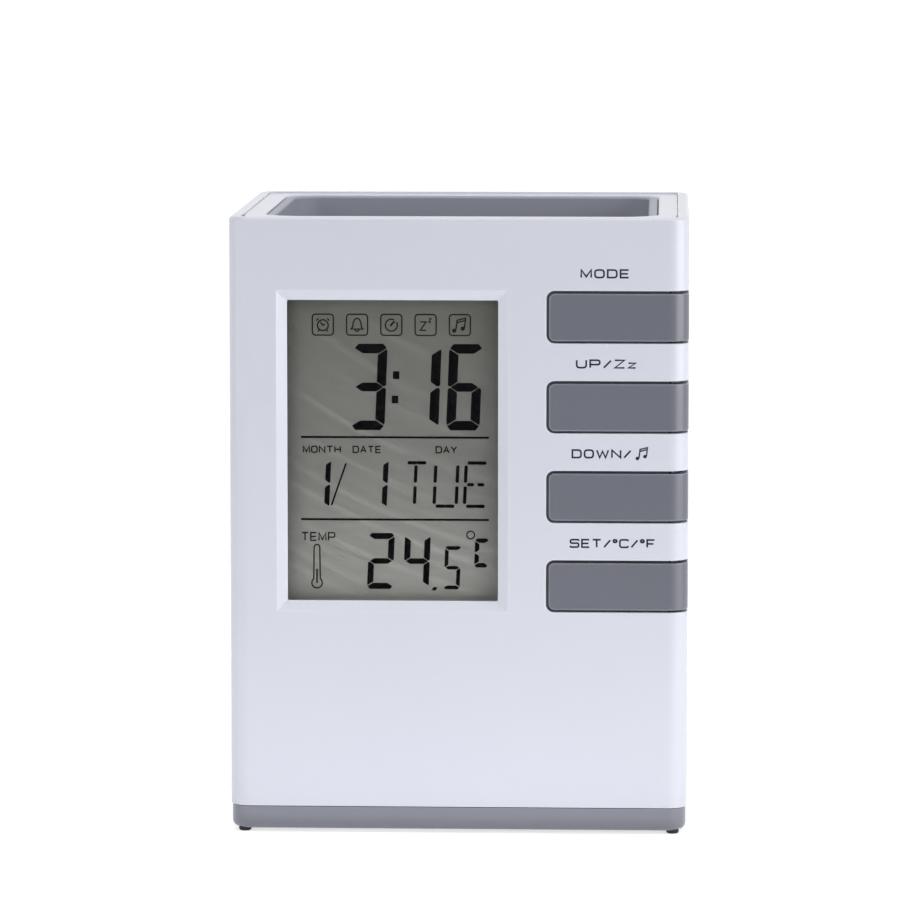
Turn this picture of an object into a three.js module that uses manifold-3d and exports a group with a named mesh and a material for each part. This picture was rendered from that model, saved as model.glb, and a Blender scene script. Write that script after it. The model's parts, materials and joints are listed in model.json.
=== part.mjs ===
// Pen holder clock, in millimetres, +Z up. The origin is on the surface that it stands on, under
// the middle of the body. The display and the keys face -Y, and the keys wrap round the +X edge.
// A white front panel and rear shell stand on a grey base tray. A grey pen cup hangs by its flange
// under a white collar, and the clock sits between the front panel and the cup.

import * as THREE from 'three';
import { mergeVertices } from 'three/addons/utils/BufferGeometryUtils.js';
import Module from 'manifold-3d';

const wasm = await Module();
wasm.setup();

// Body
const bodyWidth = 80;
const bodyDepth = 75;
const bodyHeight = 108;
const wall = 2;
const frontEdgeRadius = 3;
const rearCornerRadius = 3.5;
const topEdgeRadius = 0.7;
const sharpestRadius = 0.4;
const returnLength = 12;
const tongueReach = 1.8;
const tongueThickness = 1.2;

// Clearances
const fitGap = 0.3;
const keyGap = 0.35;
const overrun = 1;
const weld = 0.5;

// Rim and pen cup
const rimFront = 10;
const rimSide = 7.2;
const mouthRadius = 5;
const mouthEdgeRadius = 0.5;
const collarThickness = 2.2;
const collarDrop = 0.3;
const cupWall = 1.6;
const cupRimDrop = 0.2;
const cupDraft = 0.8;
const cupFloorRadius = 3;
const flangeThickness = 1.5;
const pegRadius = 1;
const pegInset = 3.1;
const gussetWidth = 1.6;
const gussetReach = 2.6;
const gussetHeight = 14;
const frontGussetHeight = 4.5;
const frontGussetSpread = 32;
const sideGussetSpread = 25;

// Base tray, feet and base screws
const footHeight = 0.6;
const footRadius = 1.1;
const footInset = 2.5;
const footSocketDepth = 1.2;
const skirtHeight = 3.9;
const skirtWall = 2.2;
const baseInset = 0.2;
const baseEdgeRadius = 1.3;
const basePlate = 2.4;
const lipHeight = 4.5;
const lipThickness = 1.2;
const postRadius = 3;
const postHeight = 11;
const postInset = 8;
const frontPostSetback = 6.7;
const rearPostSetback = 9.5;
const screwRadius = 1.3;
const screwHeadRadius = 2.5;
const screwHeadHeight = 1.1;
const screwLength = 9;

// Battery bay and its door
const cellDiameter = 10.5;
const cellLength = 44.5;
const cellSpacing = 1;
const nubRadius = 1.9;
const nubLength = 1;
const springLength = 6;
const springWire = 0.7;
const springTurns = 4;
const springWideRadius = 3.6;
const springNarrowRadius = 2.4;
const contactThickness = 0.4;
const contactSize = 9;
const tabWidth = 2;
const tabReach = 1.8;
const bayWall = 1.2;
const baySetback = 3;
const doorPlate = 1.5;
const doorRibHeight = 1.6;
const doorRibWidth = 1.2;
const doorRibSpread = 15;
const hingeRadius = 1.2;
const hingePinRadius = 0.6;
const hingePinLength = 1.4;
const latchWidth = 9;
const latchLength = 6;
const latchSlot = 0.8;
const scoopRadius = 5;
const scoopDepth = 1.2;

// Display window, lens, display and holder
const panelMargin = 12.65;
const borderSideMargin = 8.4;
const borderToKeys = 6.7;
const borderLift = 39.15;
const borderSlope = 1.8;
const borderDepth = 1;
const windowRadius = 0.5;
const windowLip = 0.6;
const lensThickness = 1;
const lensOverlap = 1.6;
const glassOverlap = 3.4;
const glassThickness = 1;
const ledgeHeight = 2.8;
const stripThickness = 1.6;
const stripMargin = 2;
const holderWall = 1.4;
const holderRim = 4.2;
const holderBacking = 1.2;

// Circuit board and what is on it
const boardThickness = 1.2;
const boardMargin = 1;
const boardDrop = 6.5;
const boardScrewInset = 8;
const boardPostRadius = 2.3;
const boardPostGap = 0.6;
const boardScrewRadius = 0.9;
const boardScrewHead = 1.8;
const boardScrewHeadHeight = 0.75;
const boardScrewLength = 4;
const chipRadius = 5;
const chipHeight = 0.7;
const chipRise = 8;
const crystalRadius = 1;
const crystalLength = 6;
const crystalInset = 19;
const sensorRadius = 1.2;
const sensorLegRadius = 0.3;
const sensorInset = 16;
const sensorRise = 3.6;

// Keys and their switches
const keyCount = 4;
const keyLength = 24.6;
const keyBridge = 6.66;
const keyBandInset = 0.11;
const keyCornerRadius = 1;
const keyWall = 1.8;
const keySide = 9;
const keyTravel = 0.6;
const keyFlange = 0.8;
const keyFlangeReach = 1.2;
const stemRadius = 2;
const stemLength = 0.5;
const switchInset = 13.5;
const switchSize = 6;
const switchHeight = 1.9;
const switchFloor = 0.3;
const plungerRadius = 1.6;

// Sounder and leads
const sounderRadius = 10;
const sounderDiscThickness = 0.3;
const elementRadius = 7;
const elementThickness = 0.2;
const sounderOffset = 5;
const sounderWall = 1.2;
const sounderShelf = 1.2;
const sounderRingHeight = 2;
const leadRadius = 0.6;
const leadSpacing = 4;

// Roundness of curves, in steps
const frontCornerSteps = 5;
const rearCornerSteps = 8;
const edgeSteps = 3;
const roundSteps = 12;
const smallRoundSteps = 8;
const wideRoundSteps = 24;
const turnSteps = 9;
const leadSteps = 12;
const leadSides = 8;
const springSides = 6;

// Places that follow from the sizes above
const left = -bodyWidth / 2;
const right = bodyWidth / 2;
const front = -bodyDepth / 2;
const rear = bodyDepth / 2;
const top = bodyHeight;
const panelBack = front + wall;
const skirtTop = footHeight + skirtHeight;
const bodyBottom = skirtTop + fitGap;
const plateTop = footHeight + basePlate;
const lipTop = plateTop + lipHeight;
const lipInset = wall + fitGap;
const seam = front + returnLength;

const collarTop = top - collarDrop;
const collarBottom = collarTop - collarThickness;
const flangeBottom = collarBottom - flangeThickness;
const mouth = { x: right - rimSide, front: front + rimFront, rear: rear - rimSide };
const cupRimTop = collarTop - cupRimDrop;
const pegX = right - lipInset - pegInset;
const frontPegY = front + lipInset + pegInset;
const rearPegY = rear - lipInset - pegInset;

const cellY = (cellDiameter + cellSpacing) / 2;
const bayHalfX = (cellLength + springLength) / 2 + contactThickness;
const bayHalfY = cellDiameter + cellSpacing / 2 + fitGap;
const bayY = baySetback;
const cellZ = footHeight + doorPlate + doorRibHeight + fitGap + cellDiameter / 2;
const bayCeiling = cellZ + cellDiameter / 2 + fitGap;
const bayTop = bayCeiling + bayWall;
const cupBottom = bayTop + fitGap;
const cupFloor = cupBottom + cupWall;
const hingeY = bayY - bayHalfY + keyGap + hingeRadius;
const hingeZ = footHeight + hingeRadius;
const tabZ = cellZ + contactSize / 2 - contactThickness;

const borderWidth = bodyWidth - borderSideMargin - borderToKeys - keyLength;
const borderHeight = top - panelMargin - borderLift;
const borderX = left + borderSideMargin + borderWidth / 2;
const borderZ = borderLift + borderHeight / 2;
const keyPitch = (borderHeight - 2 * keyBandInset + keyBridge) / keyCount;
const keyHeight = keyPitch - keyBridge;
const windowHalf = { x: borderWidth / 2 - borderSlope, z: borderHeight / 2 - borderSlope };
const lensHalf = { x: windowHalf.x + lensOverlap, z: windowHalf.z + lensOverlap };
const glassHalf = { x: windowHalf.x + glassOverlap, z: windowHalf.z + glassOverlap };
const pocketHalf = { x: glassHalf.x + fitGap, z: glassHalf.z + fitGap };
const holderHalf = { x: pocketHalf.x + holderWall, z: pocketHalf.z + holderWall };
const lensFront = front + borderDepth + windowLip;
const lensBack = lensFront + lensThickness;
const glassFront = lensBack + fitGap;
const glassMiddle = glassFront + glassThickness;
const glassBack = glassMiddle + glassThickness;
const boardFront = glassBack + holderBacking;
const boardBack = boardFront + boardThickness;
const ledgeTop = borderZ - glassHalf.z + ledgeHeight;
const stripZ = borderZ - glassHalf.z + ledgeHeight / 2;

const boardLeft = left + wall + boardMargin;
const boardRight = right - wall - boardMargin;
const boardTop = flangeBottom - boardPostGap;
const boardBottom = borderZ - holderHalf.z - boardDrop;
const boardPostX = right - boardScrewInset;
const boardPostTopZ = flangeBottom - fitGap - boardPostRadius;
const boardPostLowZ = borderZ - holderHalf.z - fitGap - boardPostRadius - boardPostGap;
const keyBack = front + keySide;
const slotBack = keyBack + keyTravel + keyGap;
const switchX = right - switchInset;
const switchFront = boardFront - switchHeight;
const stemEnd = panelBack + keyFlange + stemLength;
const plungerEnd = boardFront - switchFloor - fitGap - keyTravel;
const sounderX = borderX + borderWidth / 2 - sounderOffset;
const sounderOuter = sounderRadius + fitGap + sounderWall;
const sounderZ = (lipTop + borderZ - holderHalf.z) / 2;
const sounderBack = panelBack + sounderShelf + sounderDiscThickness;
const postX = right - postInset;
const postTop = plateTop + postHeight;
const frontPostY = front + frontPostSetback;
const rearPostY = rear - rearPostSetback;

// Finishes
function finish(colour, roughness, metalness = 0) {
	return { color: colour, roughness, metalness };
}

const white = finish('#dde0ea', 0.4);
const grey = finish('#82838f', 0.45);
const keyGrey = finish('#72747e', 0.42);
const rubber = finish('#3a3b40', 0.8);
const clear = finish('#eef2f2', 0.08);
const glass = finish('#8d918c', 0.1);
const holderWhite = finish('#d8d6cc', 0.6);
const boardGreen = finish('#3d6b46', 0.5);
const resin = finish('#17181a', 0.35);
const black = finish('#1f2023', 0.5);
const steel = finish('#b9bcc0', 0.3, 1);
const nickel = finish('#c9c6bc', 0.3, 1);
const brass = finish('#c8a24c', 0.3, 1);
const ceramic = finish('#e6e2d4', 0.6);
const cellJacket = finish('#3f6f93', 0.4);
const stripPink = finish('#c9a9a0', 0.7);
const red = finish('#b8322b', 0.5);

// Solids from three.js geometry: bare positions, shared corners merged, faces turned outwards
function toSolid(geometry) {
	const bare = geometry.clone();
	bare.deleteAttribute('normal');
	bare.deleteAttribute('uv');
	const merged = mergeVertices(bare);
	const place = merged.attributes.position.array;
	const source = merged.index.array;
	const corner = (index) => new THREE.Vector3().fromArray(place, 3 * index);
	const faces = [];
	let volume = 0;
	for (let i = 0; i < source.length; i += 3) {
		const [a, b, c] = source.slice(i, i + 3);
		if (a !== b && b !== c && c !== a) {
			faces.push([a, b, c]);
			volume += corner(a).dot(corner(b).cross(corner(c)));
		}
	}
	const outward = volume < 0 ? faces.map(([a, b, c]) => [a, c, b]) : faces;
	return new wasm.Manifold(new wasm.Mesh({
		numProp: 3,
		vertProperties: Float32Array.from(place),
		triVerts: Uint32Array.from(outward.flat()),
	}));
}

function toGeometry(solid) {
	const mesh = solid.getMesh();
	const geometry = new THREE.BufferGeometry();
	geometry.setAttribute('position', new THREE.BufferAttribute(mesh.vertProperties, mesh.numProp));
	geometry.setIndex(new THREE.BufferAttribute(mesh.triVerts, 1));
	geometry.computeVertexNormals();
	return geometry;
}

const clock = new THREE.Group();

function addPiece(name, solid, look) {
	const mesh = new THREE.Mesh(toGeometry(solid), new THREE.MeshStandardMaterial(look));
	mesh.name = name;
	clock.add(mesh);
}

// Basic forms: blocks, rods along an axis and flat shapes drawn out along an axis
function block(x0, x1, y0, y1, z0, z1) {
	const geometry = new THREE.BoxGeometry(x1 - x0, y1 - y0, z1 - z0);
	geometry.translate((x0 + x1) / 2, (y0 + y1) / 2, (z0 + z1) / 2);
	return toSolid(geometry);
}

const turnFromZ = {
	x: new THREE.Matrix4().makeBasis(
		new THREE.Vector3(0, 1, 0), new THREE.Vector3(0, 0, 1), new THREE.Vector3(1, 0, 0)),
	y: new THREE.Matrix4().makeBasis(
		new THREE.Vector3(1, 0, 0), new THREE.Vector3(0, 0, 1), new THREE.Vector3(0, -1, 0)),
	z: new THREE.Matrix4(),
};

function rod(axis, radius, from, to, a, b, steps = roundSteps) {
	const geometry = new THREE.CylinderGeometry(radius, radius, to - from, steps);
	geometry.rotateX(Math.PI / 2);
	geometry.applyMatrix4(turnFromZ[axis]);
	const middle = (from + to) / 2;
	const place = { x: [middle, a, b], y: [a, middle, b], z: [a, b, middle] };
	geometry.translate(...place[axis]);
	return toSolid(geometry);
}

function drawnOut(axis, shape, from, to) {
	const options = { depth: to - from, bevelEnabled: false, curveSegments: edgeSteps };
	const geometry = new THREE.ExtrudeGeometry(shape, options);
	geometry.applyMatrix4(turnFromZ[axis]);
	const start = axis === 'y' ? to : from;
	const place = { x: [start, 0, 0], y: [0, start, 0], z: [0, 0, start] };
	geometry.translate(...place[axis]);
	return toSolid(geometry);
}

function roundedRectangle(x0, x1, y0, y1, radius) {
	const shape = new THREE.Shape();
	const quarter = Math.PI / 2;
	shape.absarc(x1 - radius, y0 + radius, radius, -quarter, 0);
	shape.absarc(x1 - radius, y1 - radius, radius, 0, quarter);
	shape.absarc(x0 + radius, y1 - radius, radius, quarter, 2 * quarter);
	shape.absarc(x0 + radius, y0 + radius, radius, 2 * quarter, 3 * quarter);
	return shape;
}

function roundedPlate(half, y0, y1, radius) {
	const shape = roundedRectangle(
		borderX - half.x, borderX + half.x, borderZ - half.z, borderZ + half.z, radius);
	return drawnOut('y', shape, y0, y1);
}

function cornerShape(points) {
	return new THREE.Shape(points.map(([x, y]) => new THREE.Vector2(x, y)));
}

function union(solids) {
	return solids.reduce((whole, part) => whole.add(part));
}

function cut(solid, tools) {
	return tools.reduce((rest, tool) => rest.subtract(tool), solid);
}

// Stacked outlines: a rounded plan outline at each height, joined into one closed wall
function outline(plan, inset, z) {
	const points = [];
	const frontRadius = Math.max(plan.frontRadius - inset, sharpestRadius);
	const rearRadius = Math.max(plan.rearRadius - inset, sharpestRadius);
	const frontY = plan.front + inset + frontRadius;
	const rearY = plan.rear - inset - rearRadius;
	const corners = [
		[1, frontY, frontRadius, -Math.PI / 2, frontCornerSteps],
		[1, rearY, rearRadius, 0, rearCornerSteps],
		[-1, rearY, rearRadius, Math.PI / 2, rearCornerSteps],
		[-1, frontY, frontRadius, Math.PI, frontCornerSteps],
	];
	for (const [side, centreY, radius, start, steps] of corners) {
		const centreX = side * (plan.x - inset - radius);
		for (let step = 0; step <= steps; step += 1) {
			const angle = start + (step / steps) * (Math.PI / 2);
			const x = centreX + radius * Math.cos(angle);
			points.push(new THREE.Vector3(x, centreY + radius * Math.sin(angle), z));
		}
	}
	return points;
}

function stack(rings) {
	const count = rings[0].length;
	const indices = [];
	for (let level = 0; level + 1 < rings.length; level += 1) {
		for (let i = 0; i < count; i += 1) {
			const next = (i + 1) % count;
			const low = level * count;
			const high = low + count;
			indices.push(low + i, low + next, high + next, low + i, high + next, high + i);
		}
	}
	const flat = rings[0].map((point) => new THREE.Vector2(point.x, point.y));
	const lid = count * (rings.length - 1);
	for (const [a, b, c] of THREE.ShapeUtils.triangulateShape(flat, [])) {
		indices.push(c, b, a, lid + a, lid + b, lid + c);
	}
	const geometry = new THREE.BufferGeometry().setFromPoints(rings.flat());
	geometry.setIndex(indices);
	return toSolid(geometry);
}

// A quarter round between two faces, as steps of [height, inset] shares of its radius
function quarterRound() {
	const shares = [];
	for (let step = 1; step <= edgeSteps; step += 1) {
		const angle = (step / edgeSteps) * (Math.PI / 2);
		shares.push([Math.sin(angle), 1 - Math.cos(angle)]);
	}
	return shares;
}

const bodyPlan = {
	x: right, front, rear, frontRadius: frontEdgeRadius, rearRadius: rearCornerRadius,
};
const mouthPlan = { ...mouth, frontRadius: mouthRadius, rearRadius: mouthRadius };

function bodyBlock(inset, low, high) {
	return stack([outline(bodyPlan, inset, low), outline(bodyPlan, inset, high)]);
}

// The outside of the white body, with its top edge rounded
function bodyOutside() {
	const edgeStart = top - topEdgeRadius;
	const edge = quarterRound().map(([rise, draw]) => (
		outline(bodyPlan, draw * topEdgeRadius, edgeStart + rise * topEdgeRadius)));
	return stack([outline(bodyPlan, 0, bodyBottom), outline(bodyPlan, 0, edgeStart), ...edge]);
}

const outside = bodyOutside();
const bodyWalls = outside.subtract(bodyBlock(wall, bodyBottom - overrun, top + overrun));

// Posts for the base screws, each tied to a wall by a web that clears the tray's lip
function basePost(x, y) {
	const post = rod('z', postRadius, plateTop, postTop, x, y);
	const pilot = rod('z', screwRadius + fitGap, plateTop - overrun, postTop - wall, x, y);
	return { post, pilot };
}

function webs(x, y, toX, toY) {
	const half = gussetWidth / 2;
	const low = lipTop + fitGap;
	const parts = [];
	if (toY !== null) {
		parts.push(block(x - half, x + half, Math.min(y, toY), Math.max(y, toY), low, postTop));
	}
	if (toX !== null) {
		parts.push(block(Math.min(x, toX), Math.max(x, toX), y - half, y + half, low, postTop));
	}
	return union(parts);
}

// Gussets under the cup's flange: a triangle in section, widest where the flange rests
function sideGusset(side, y) {
	const wallFace = side * (right - wall + weld);
	const tip = side * (right - wall - gussetReach);
	const shape = cornerShape([
		[wallFace, flangeBottom - gussetHeight], [wallFace, flangeBottom], [tip, flangeBottom],
	]);
	return drawnOut('y', shape, y - gussetWidth / 2, y + gussetWidth / 2);
}

function depthGusset(x, wallFace, tip, height) {
	const shape = cornerShape([
		[wallFace, flangeBottom - height], [tip, flangeBottom], [wallFace, flangeBottom],
	]);
	return drawnOut('x', shape, x - gussetWidth / 2, x + gussetWidth / 2);
}

// Key slots: each opening runs round the right-hand edge and ends in the side return
function keyBand(index) {
	const slotTop = top - panelMargin - keyBandInset - index * keyPitch;
	return { low: slotTop - keyHeight, high: slotTop, centre: slotTop - keyHeight / 2 };
}

function keySlot(index) {
	const band = keyBand(index);
	const shape = roundedRectangle(
		right - keyLength, right + keyLength, band.low, band.high, keyCornerRadius);
	return drawnOut('y', shape, front - overrun, slotBack);
}

const boardPosts = [
	[-boardPostX, boardPostTopZ], [boardPostX, boardPostTopZ],
	[-boardPostX, boardPostLowZ], [boardPostX, boardPostLowZ],
];

function slopedBorder() {
	const facing = (halfX, halfZ, y) => [
		new THREE.Vector3(borderX - halfX, y, borderZ - halfZ),
		new THREE.Vector3(borderX + halfX, y, borderZ - halfZ),
		new THREE.Vector3(borderX + halfX, y, borderZ + halfZ),
		new THREE.Vector3(borderX - halfX, y, borderZ + halfZ),
	];
	const slope = borderSlope / borderDepth;
	const spare = overrun * slope;
	const geometry = new THREE.BufferGeometry().setFromPoints([
		...facing(borderWidth / 2 + spare, borderHeight / 2 + spare, front - overrun),
		...facing(windowHalf.x, windowHalf.z, front + borderDepth),
	]);
	const indices = [0, 1, 2, 0, 2, 3, 4, 6, 5, 4, 7, 6];
	for (let i = 0; i < 4; i += 1) {
		const next = (i + 1) % 4;
		indices.push(i, i + 4, next + 4, i, next + 4, next);
	}
	geometry.setIndex(indices);
	return toSolid(geometry);
}

function sounderRing() {
	const ringBack = panelBack + sounderRingHeight;
	const at = [sounderX, sounderZ];
	const ring = rod('y', sounderOuter, panelBack - weld, ringBack, ...at, wideRoundSteps);
	const well = rod('y', sounderRadius + fitGap, panelBack + sounderShelf, ringBack + overrun,
		...at, wideRoundSteps);
	const bore = rod('y', sounderRadius - sounderWall, panelBack, ringBack, ...at, wideRoundSteps);
	return cut(ring, [well, bore]);
}

function frontPanel() {
	const keep = block(left - overrun, right + overrun, front - overrun, seam - fitGap / 2,
		bodyBottom - overrun, top + overrun);
	const posts = boardPosts.map(([x, z]) => (
		rod('y', boardPostRadius, panelBack - weld, boardFront, x, z)));
	const pilots = boardPosts.map(([x, z]) => (
		rod('y', boardScrewRadius + fitGap, panelBack, boardFront + overrun, x, z)));
	const footings = [-postX, postX].map((x) => basePost(x, frontPostY));
	const postWebs = [-postX, postX].map((x) => webs(x, frontPostY, null, panelBack - weld));
	const gussets = [-frontGussetSpread / 2, frontGussetSpread / 2].map((x) => (
		depthGusset(x, panelBack - weld, panelBack + gussetReach, frontGussetHeight)));
	const solid = union([
		bodyWalls.intersect(keep), ...posts, ...footings.map((footing) => footing.post),
		...postWebs, ...gussets, sounderRing(),
	]);
	const slots = [];
	for (let index = 0; index < keyCount; index += 1) {
		slots.push(keySlot(index));
	}
	return cut(solid, [
		...pilots, ...footings.map((footing) => footing.pilot), ...slots, slopedBorder(),
		roundedPlate(windowHalf, front, panelBack + overrun, windowRadius),
		roundedPlate({ x: lensHalf.x + fitGap, z: lensHalf.z + fitGap }, lensFront,
			panelBack + overrun, windowRadius),
	]);
}

function rearShell() {
	const keep = block(left - overrun, right + overrun, seam + fitGap / 2, rear + overrun,
		bodyBottom - overrun, top + overrun);
	const footings = [-postX, postX].map((x) => basePost(x, rearPostY));
	const postWebs = [-1, 1].map((side) => (
		webs(side * postX, rearPostY, side * (right - wall + weld), rear - wall + weld)));
	const gussets = [];
	for (const side of [-1, 1]) {
		for (const y of [-sideGussetSpread / 2, sideGussetSpread / 2]) {
			gussets.push(sideGusset(side, y));
		}
		gussets.push(depthGusset(side * frontGussetSpread / 2, rear - wall + weld,
			rear - wall - gussetReach, gussetHeight));
	}
	const tongues = [-1, 1].map((side) => {
		const outer = side * (right - lipInset);
		const inner = outer - side * tongueThickness;
		const root = side * (right - wall + weld);
		const low = lipTop + fitGap;
		const blade = block(Math.min(inner, outer), Math.max(inner, outer),
			seam - tongueReach, seam + tongueReach, low, flangeBottom);
		const anchor = block(Math.min(inner, root), Math.max(inner, root),
			seam + fitGap / 2, seam + tongueReach, low, flangeBottom);
		return blade.add(anchor);
	});
	const solid = union([
		bodyWalls.intersect(keep), ...footings.map((footing) => footing.post), ...postWebs,
		...gussets, ...tongues,
	]);
	return cut(solid, footings.map((footing) => footing.pilot));
}

// Collar and cup
const pegPlaces = [-pegX, pegX].flatMap((x) => [[x, frontPegY], [x, rearPegY]]);

// An opening with the mouth's outline, moved out by a margin, whose top edge is rounded
function mouthOpening(margin, low, high) {
	const edgeStart = high - mouthEdgeRadius;
	const flare = quarterRound().map(([rise, draw]) => outline(
		mouthPlan, -margin - draw * mouthEdgeRadius, edgeStart + rise * mouthEdgeRadius));
	return stack([
		outline(mouthPlan, -margin, low), outline(mouthPlan, -margin, edgeStart), ...flare,
		outline(mouthPlan, -margin - mouthEdgeRadius, high + overrun),
	]);
}

function collar() {
	const ring = bodyBlock(lipInset, collarBottom, collarTop);
	const opening = mouthOpening(cupWall + fitGap, collarBottom - overrun, collarTop);
	const pegs = pegPlaces.map(([x, y]) => (
		rod('z', pegRadius, flangeBottom, collarBottom + weld, x, y)));
	return union([ring.subtract(opening), ...pegs]);
}

// A bowl with drafted walls and a rounded foot, its inset counted from the mouth's outline
function bowl(inset, low, high) {
	const foot = cupDraft + inset;
	const round = quarterRound().map(([rise, draw]) => (
		outline(mouthPlan, foot + (1 - rise) * cupFloorRadius, low + draw * cupFloorRadius)));
	return stack([
		outline(mouthPlan, foot + cupFloorRadius, low), ...round, outline(mouthPlan, inset, high),
	]);
}

function penCup() {
	const outer = bowl(-cupWall, cupBottom, cupRimTop);
	const flange = bodyBlock(lipInset, flangeBottom, collarBottom);
	const inner = bowl(0, cupFloor, cupRimTop + overrun);
	const opening = mouthOpening(0, collarBottom, cupRimTop);
	const pegHoles = pegPlaces.map(([x, y]) => (
		rod('z', pegRadius + fitGap, flangeBottom - overrun, collarBottom + overrun, x, y)));
	return cut(union([outer, flange]), [inner, opening, ...pegHoles]);
}

// Base tray: a plate with a rounded lower edge, a skirt, a locating lip and the battery bay
const footPlaces = [-1, 1].flatMap((side) => {
	const rearInset = rearCornerRadius * (1 - Math.SQRT1_2) + footInset;
	return [
		[side * (right - footInset), front + footInset],
		[side * (right - rearInset), rear - rearInset],
	];
});

const postPlaces = [-postX, postX].flatMap((x) => [[x, frontPostY], [x, rearPostY]]);
const cellPlaces = [bayY - cellY, bayY + cellY];

function screwHoles([x, y]) {
	const headTop = footHeight + fitGap + screwHeadHeight;
	return [
		rod('z', screwHeadRadius + fitGap, footHeight - overrun, headTop, x, y),
		rod('z', screwRadius + fitGap, footHeight - overrun, plateTop + overrun, x, y),
	];
}

function bayBlock(spare, low, high) {
	return block(-bayHalfX - spare, bayHalfX + spare, bayY - bayHalfY - spare,
		bayY + bayHalfY + spare, low, high);
}

function tabSlot(y) {
	const half = tabWidth / 2 + fitGap;
	return block(bayHalfX - overrun, bayHalfX + bayWall + overrun, y - half, y + half,
		tabZ - fitGap, tabZ + contactThickness + fitGap);
}

function baseTray() {
	const edge = quarterRound().map(([rise, draw]) => (
		outline(bodyPlan, baseInset + (1 - rise) * baseEdgeRadius, footHeight + draw * baseEdgeRadius)));
	const tray = stack([
		outline(bodyPlan, baseInset + baseEdgeRadius, footHeight), ...edge,
		outline(bodyPlan, baseInset, skirtTop),
	]);
	const hollow = bodyBlock(baseInset + skirtWall, plateTop, skirtTop + overrun);
	const lipOuter = bodyBlock(lipInset, plateTop - weld, lipTop);
	const lipInner = bodyBlock(lipInset + lipThickness, plateTop - overrun, lipTop + overrun);
	const bay = bayBlock(bayWall, plateTop - weld, bayTop);
	const solid = union([tray.subtract(hollow), lipOuter.subtract(lipInner), bay]);
	const pinReach = bayHalfX - keyGap + hingePinLength + fitGap;
	const headBand = footHeight + scoopDepth;
	return cut(solid, [
		bayBlock(0, footHeight - overrun, bayCeiling),
		rod('x', hingePinRadius + fitGap, -pinReach, pinReach, hingeY, hingeZ),
		rod('z', scoopRadius, footHeight - overrun, headBand, 0, bayY + bayHalfY, wideRoundSteps),
		...cellPlaces.map(tabSlot),
		...postPlaces.flatMap(screwHoles),
		...footPlaces.map(([x, y]) => (
			rod('z', footRadius + fitGap, footHeight - overrun, footHeight + footSocketDepth, x, y))),
	]);
}

// Battery door: a ribbed plate on a round hinge edge with two pins, and a springy latch tongue
function batteryDoor() {
	const halfX = bayHalfX - keyGap;
	const rearEdge = bayY + bayHalfY - keyGap;
	const inside = footHeight + doorPlate;
	const pinEnd = halfX + hingePinLength;
	const ribs = [-doorRibSpread, 0, doorRibSpread].map((x) => (
		block(x - doorRibWidth / 2, x + doorRibWidth / 2, hingeY + hingeRadius,
			rearEdge - latchLength - doorRibWidth, inside - weld, inside + doorRibHeight)));
	const slits = [-1, 1].map((side) => {
		const middle = side * (latchWidth + latchSlot) / 2;
		return block(middle - latchSlot / 2, middle + latchSlot / 2, rearEdge - latchLength,
			rearEdge + overrun, footHeight - overrun, inside + overrun);
	});
	const solid = union([
		block(-halfX, halfX, hingeY, rearEdge, footHeight, inside),
		rod('x', hingeRadius, -halfX, halfX, hingeY, hingeZ),
		rod('x', hingePinRadius, -pinEnd, pinEnd, hingeY, hingeZ),
		...ribs,
	]);
	return cut(solid, slits);
}

// Turned forms: a profile of [radius, height] points spun about an axis. Height grows along
// +X, -Y or +Z from the start.
function turned(axis, profile, start, a, b, steps = roundSteps) {
	const points = profile.map(([radius, height]) => new THREE.Vector2(radius, height));
	const geometry = new THREE.LatheGeometry(points, steps);
	geometry.rotateX(Math.PI / 2);
	geometry.applyMatrix4(turnFromZ[axis]);
	const place = { x: [start, a, b], y: [a, start, b], z: [a, b, start] };
	geometry.translate(...place[axis]);
	return toSolid(geometry);
}

function screwProfile(head, headHeight, shank, length) {
	return [
		[0, 0], [head - headHeight / 2, 0], [head, headHeight / 2], [head, headHeight],
		[shank, headHeight], [shank, headHeight + length - shank], [0, headHeight + length],
	];
}

// Cells: the nub end meets its plate and the flat end leaves room for a spring
function cellProfile() {
	const radius = cellDiameter / 2;
	const shoulder = cellLength - nubLength;
	return [
		[0, 0], [radius - nubLength / 2, 0], [radius, nubLength / 2], [radius, shoulder - nubLength / 2],
		[radius - nubLength / 2, shoulder], [nubRadius, shoulder], [nubRadius, cellLength],
		[0, cellLength],
	];
}

function cell(side, y) {
	const nubEnd = bayHalfX - contactThickness;
	const profile = cellProfile().map(([radius, height]) => [radius, side * (height - cellLength)]);
	return turned('x', profile, side * nubEnd, y, cellZ, wideRoundSteps);
}

function contactPlate(side, low, high) {
	const outer = side * bayHalfX;
	const inner = outer - side * contactThickness;
	const half = contactSize / 2;
	return block(Math.min(inner, outer), Math.max(inner, outer), low - half, high + half,
		cellZ - half, cellZ + half);
}

function tabbedPlate(y) {
	const tab = block(bayHalfX - contactThickness, bayHalfX + tabReach, y - tabWidth / 2,
		y + tabWidth / 2, tabZ, tabZ + contactThickness);
	return contactPlate(1, y, y).add(tab);
}

// Conical battery spring, wide on its plate and narrow on the cell
class ConeCoil extends THREE.Curve {
	constructor(side, y) {
		super();
		this.side = side;
		this.y = y;
	}

	getPoint(t, target = new THREE.Vector3()) {
		const angle = t * springTurns * 2 * Math.PI;
		const radius = springWideRadius + t * (springNarrowRadius - springWideRadius);
		const seat = springWire / 2 + fitGap;
		const rise = seat + t * (springLength - 2 * seat);
		return target.set(
			this.side * (bayHalfX - contactThickness - rise),
			this.y + radius * Math.cos(angle),
			cellZ + radius * Math.sin(angle),
		);
	}
}

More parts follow.
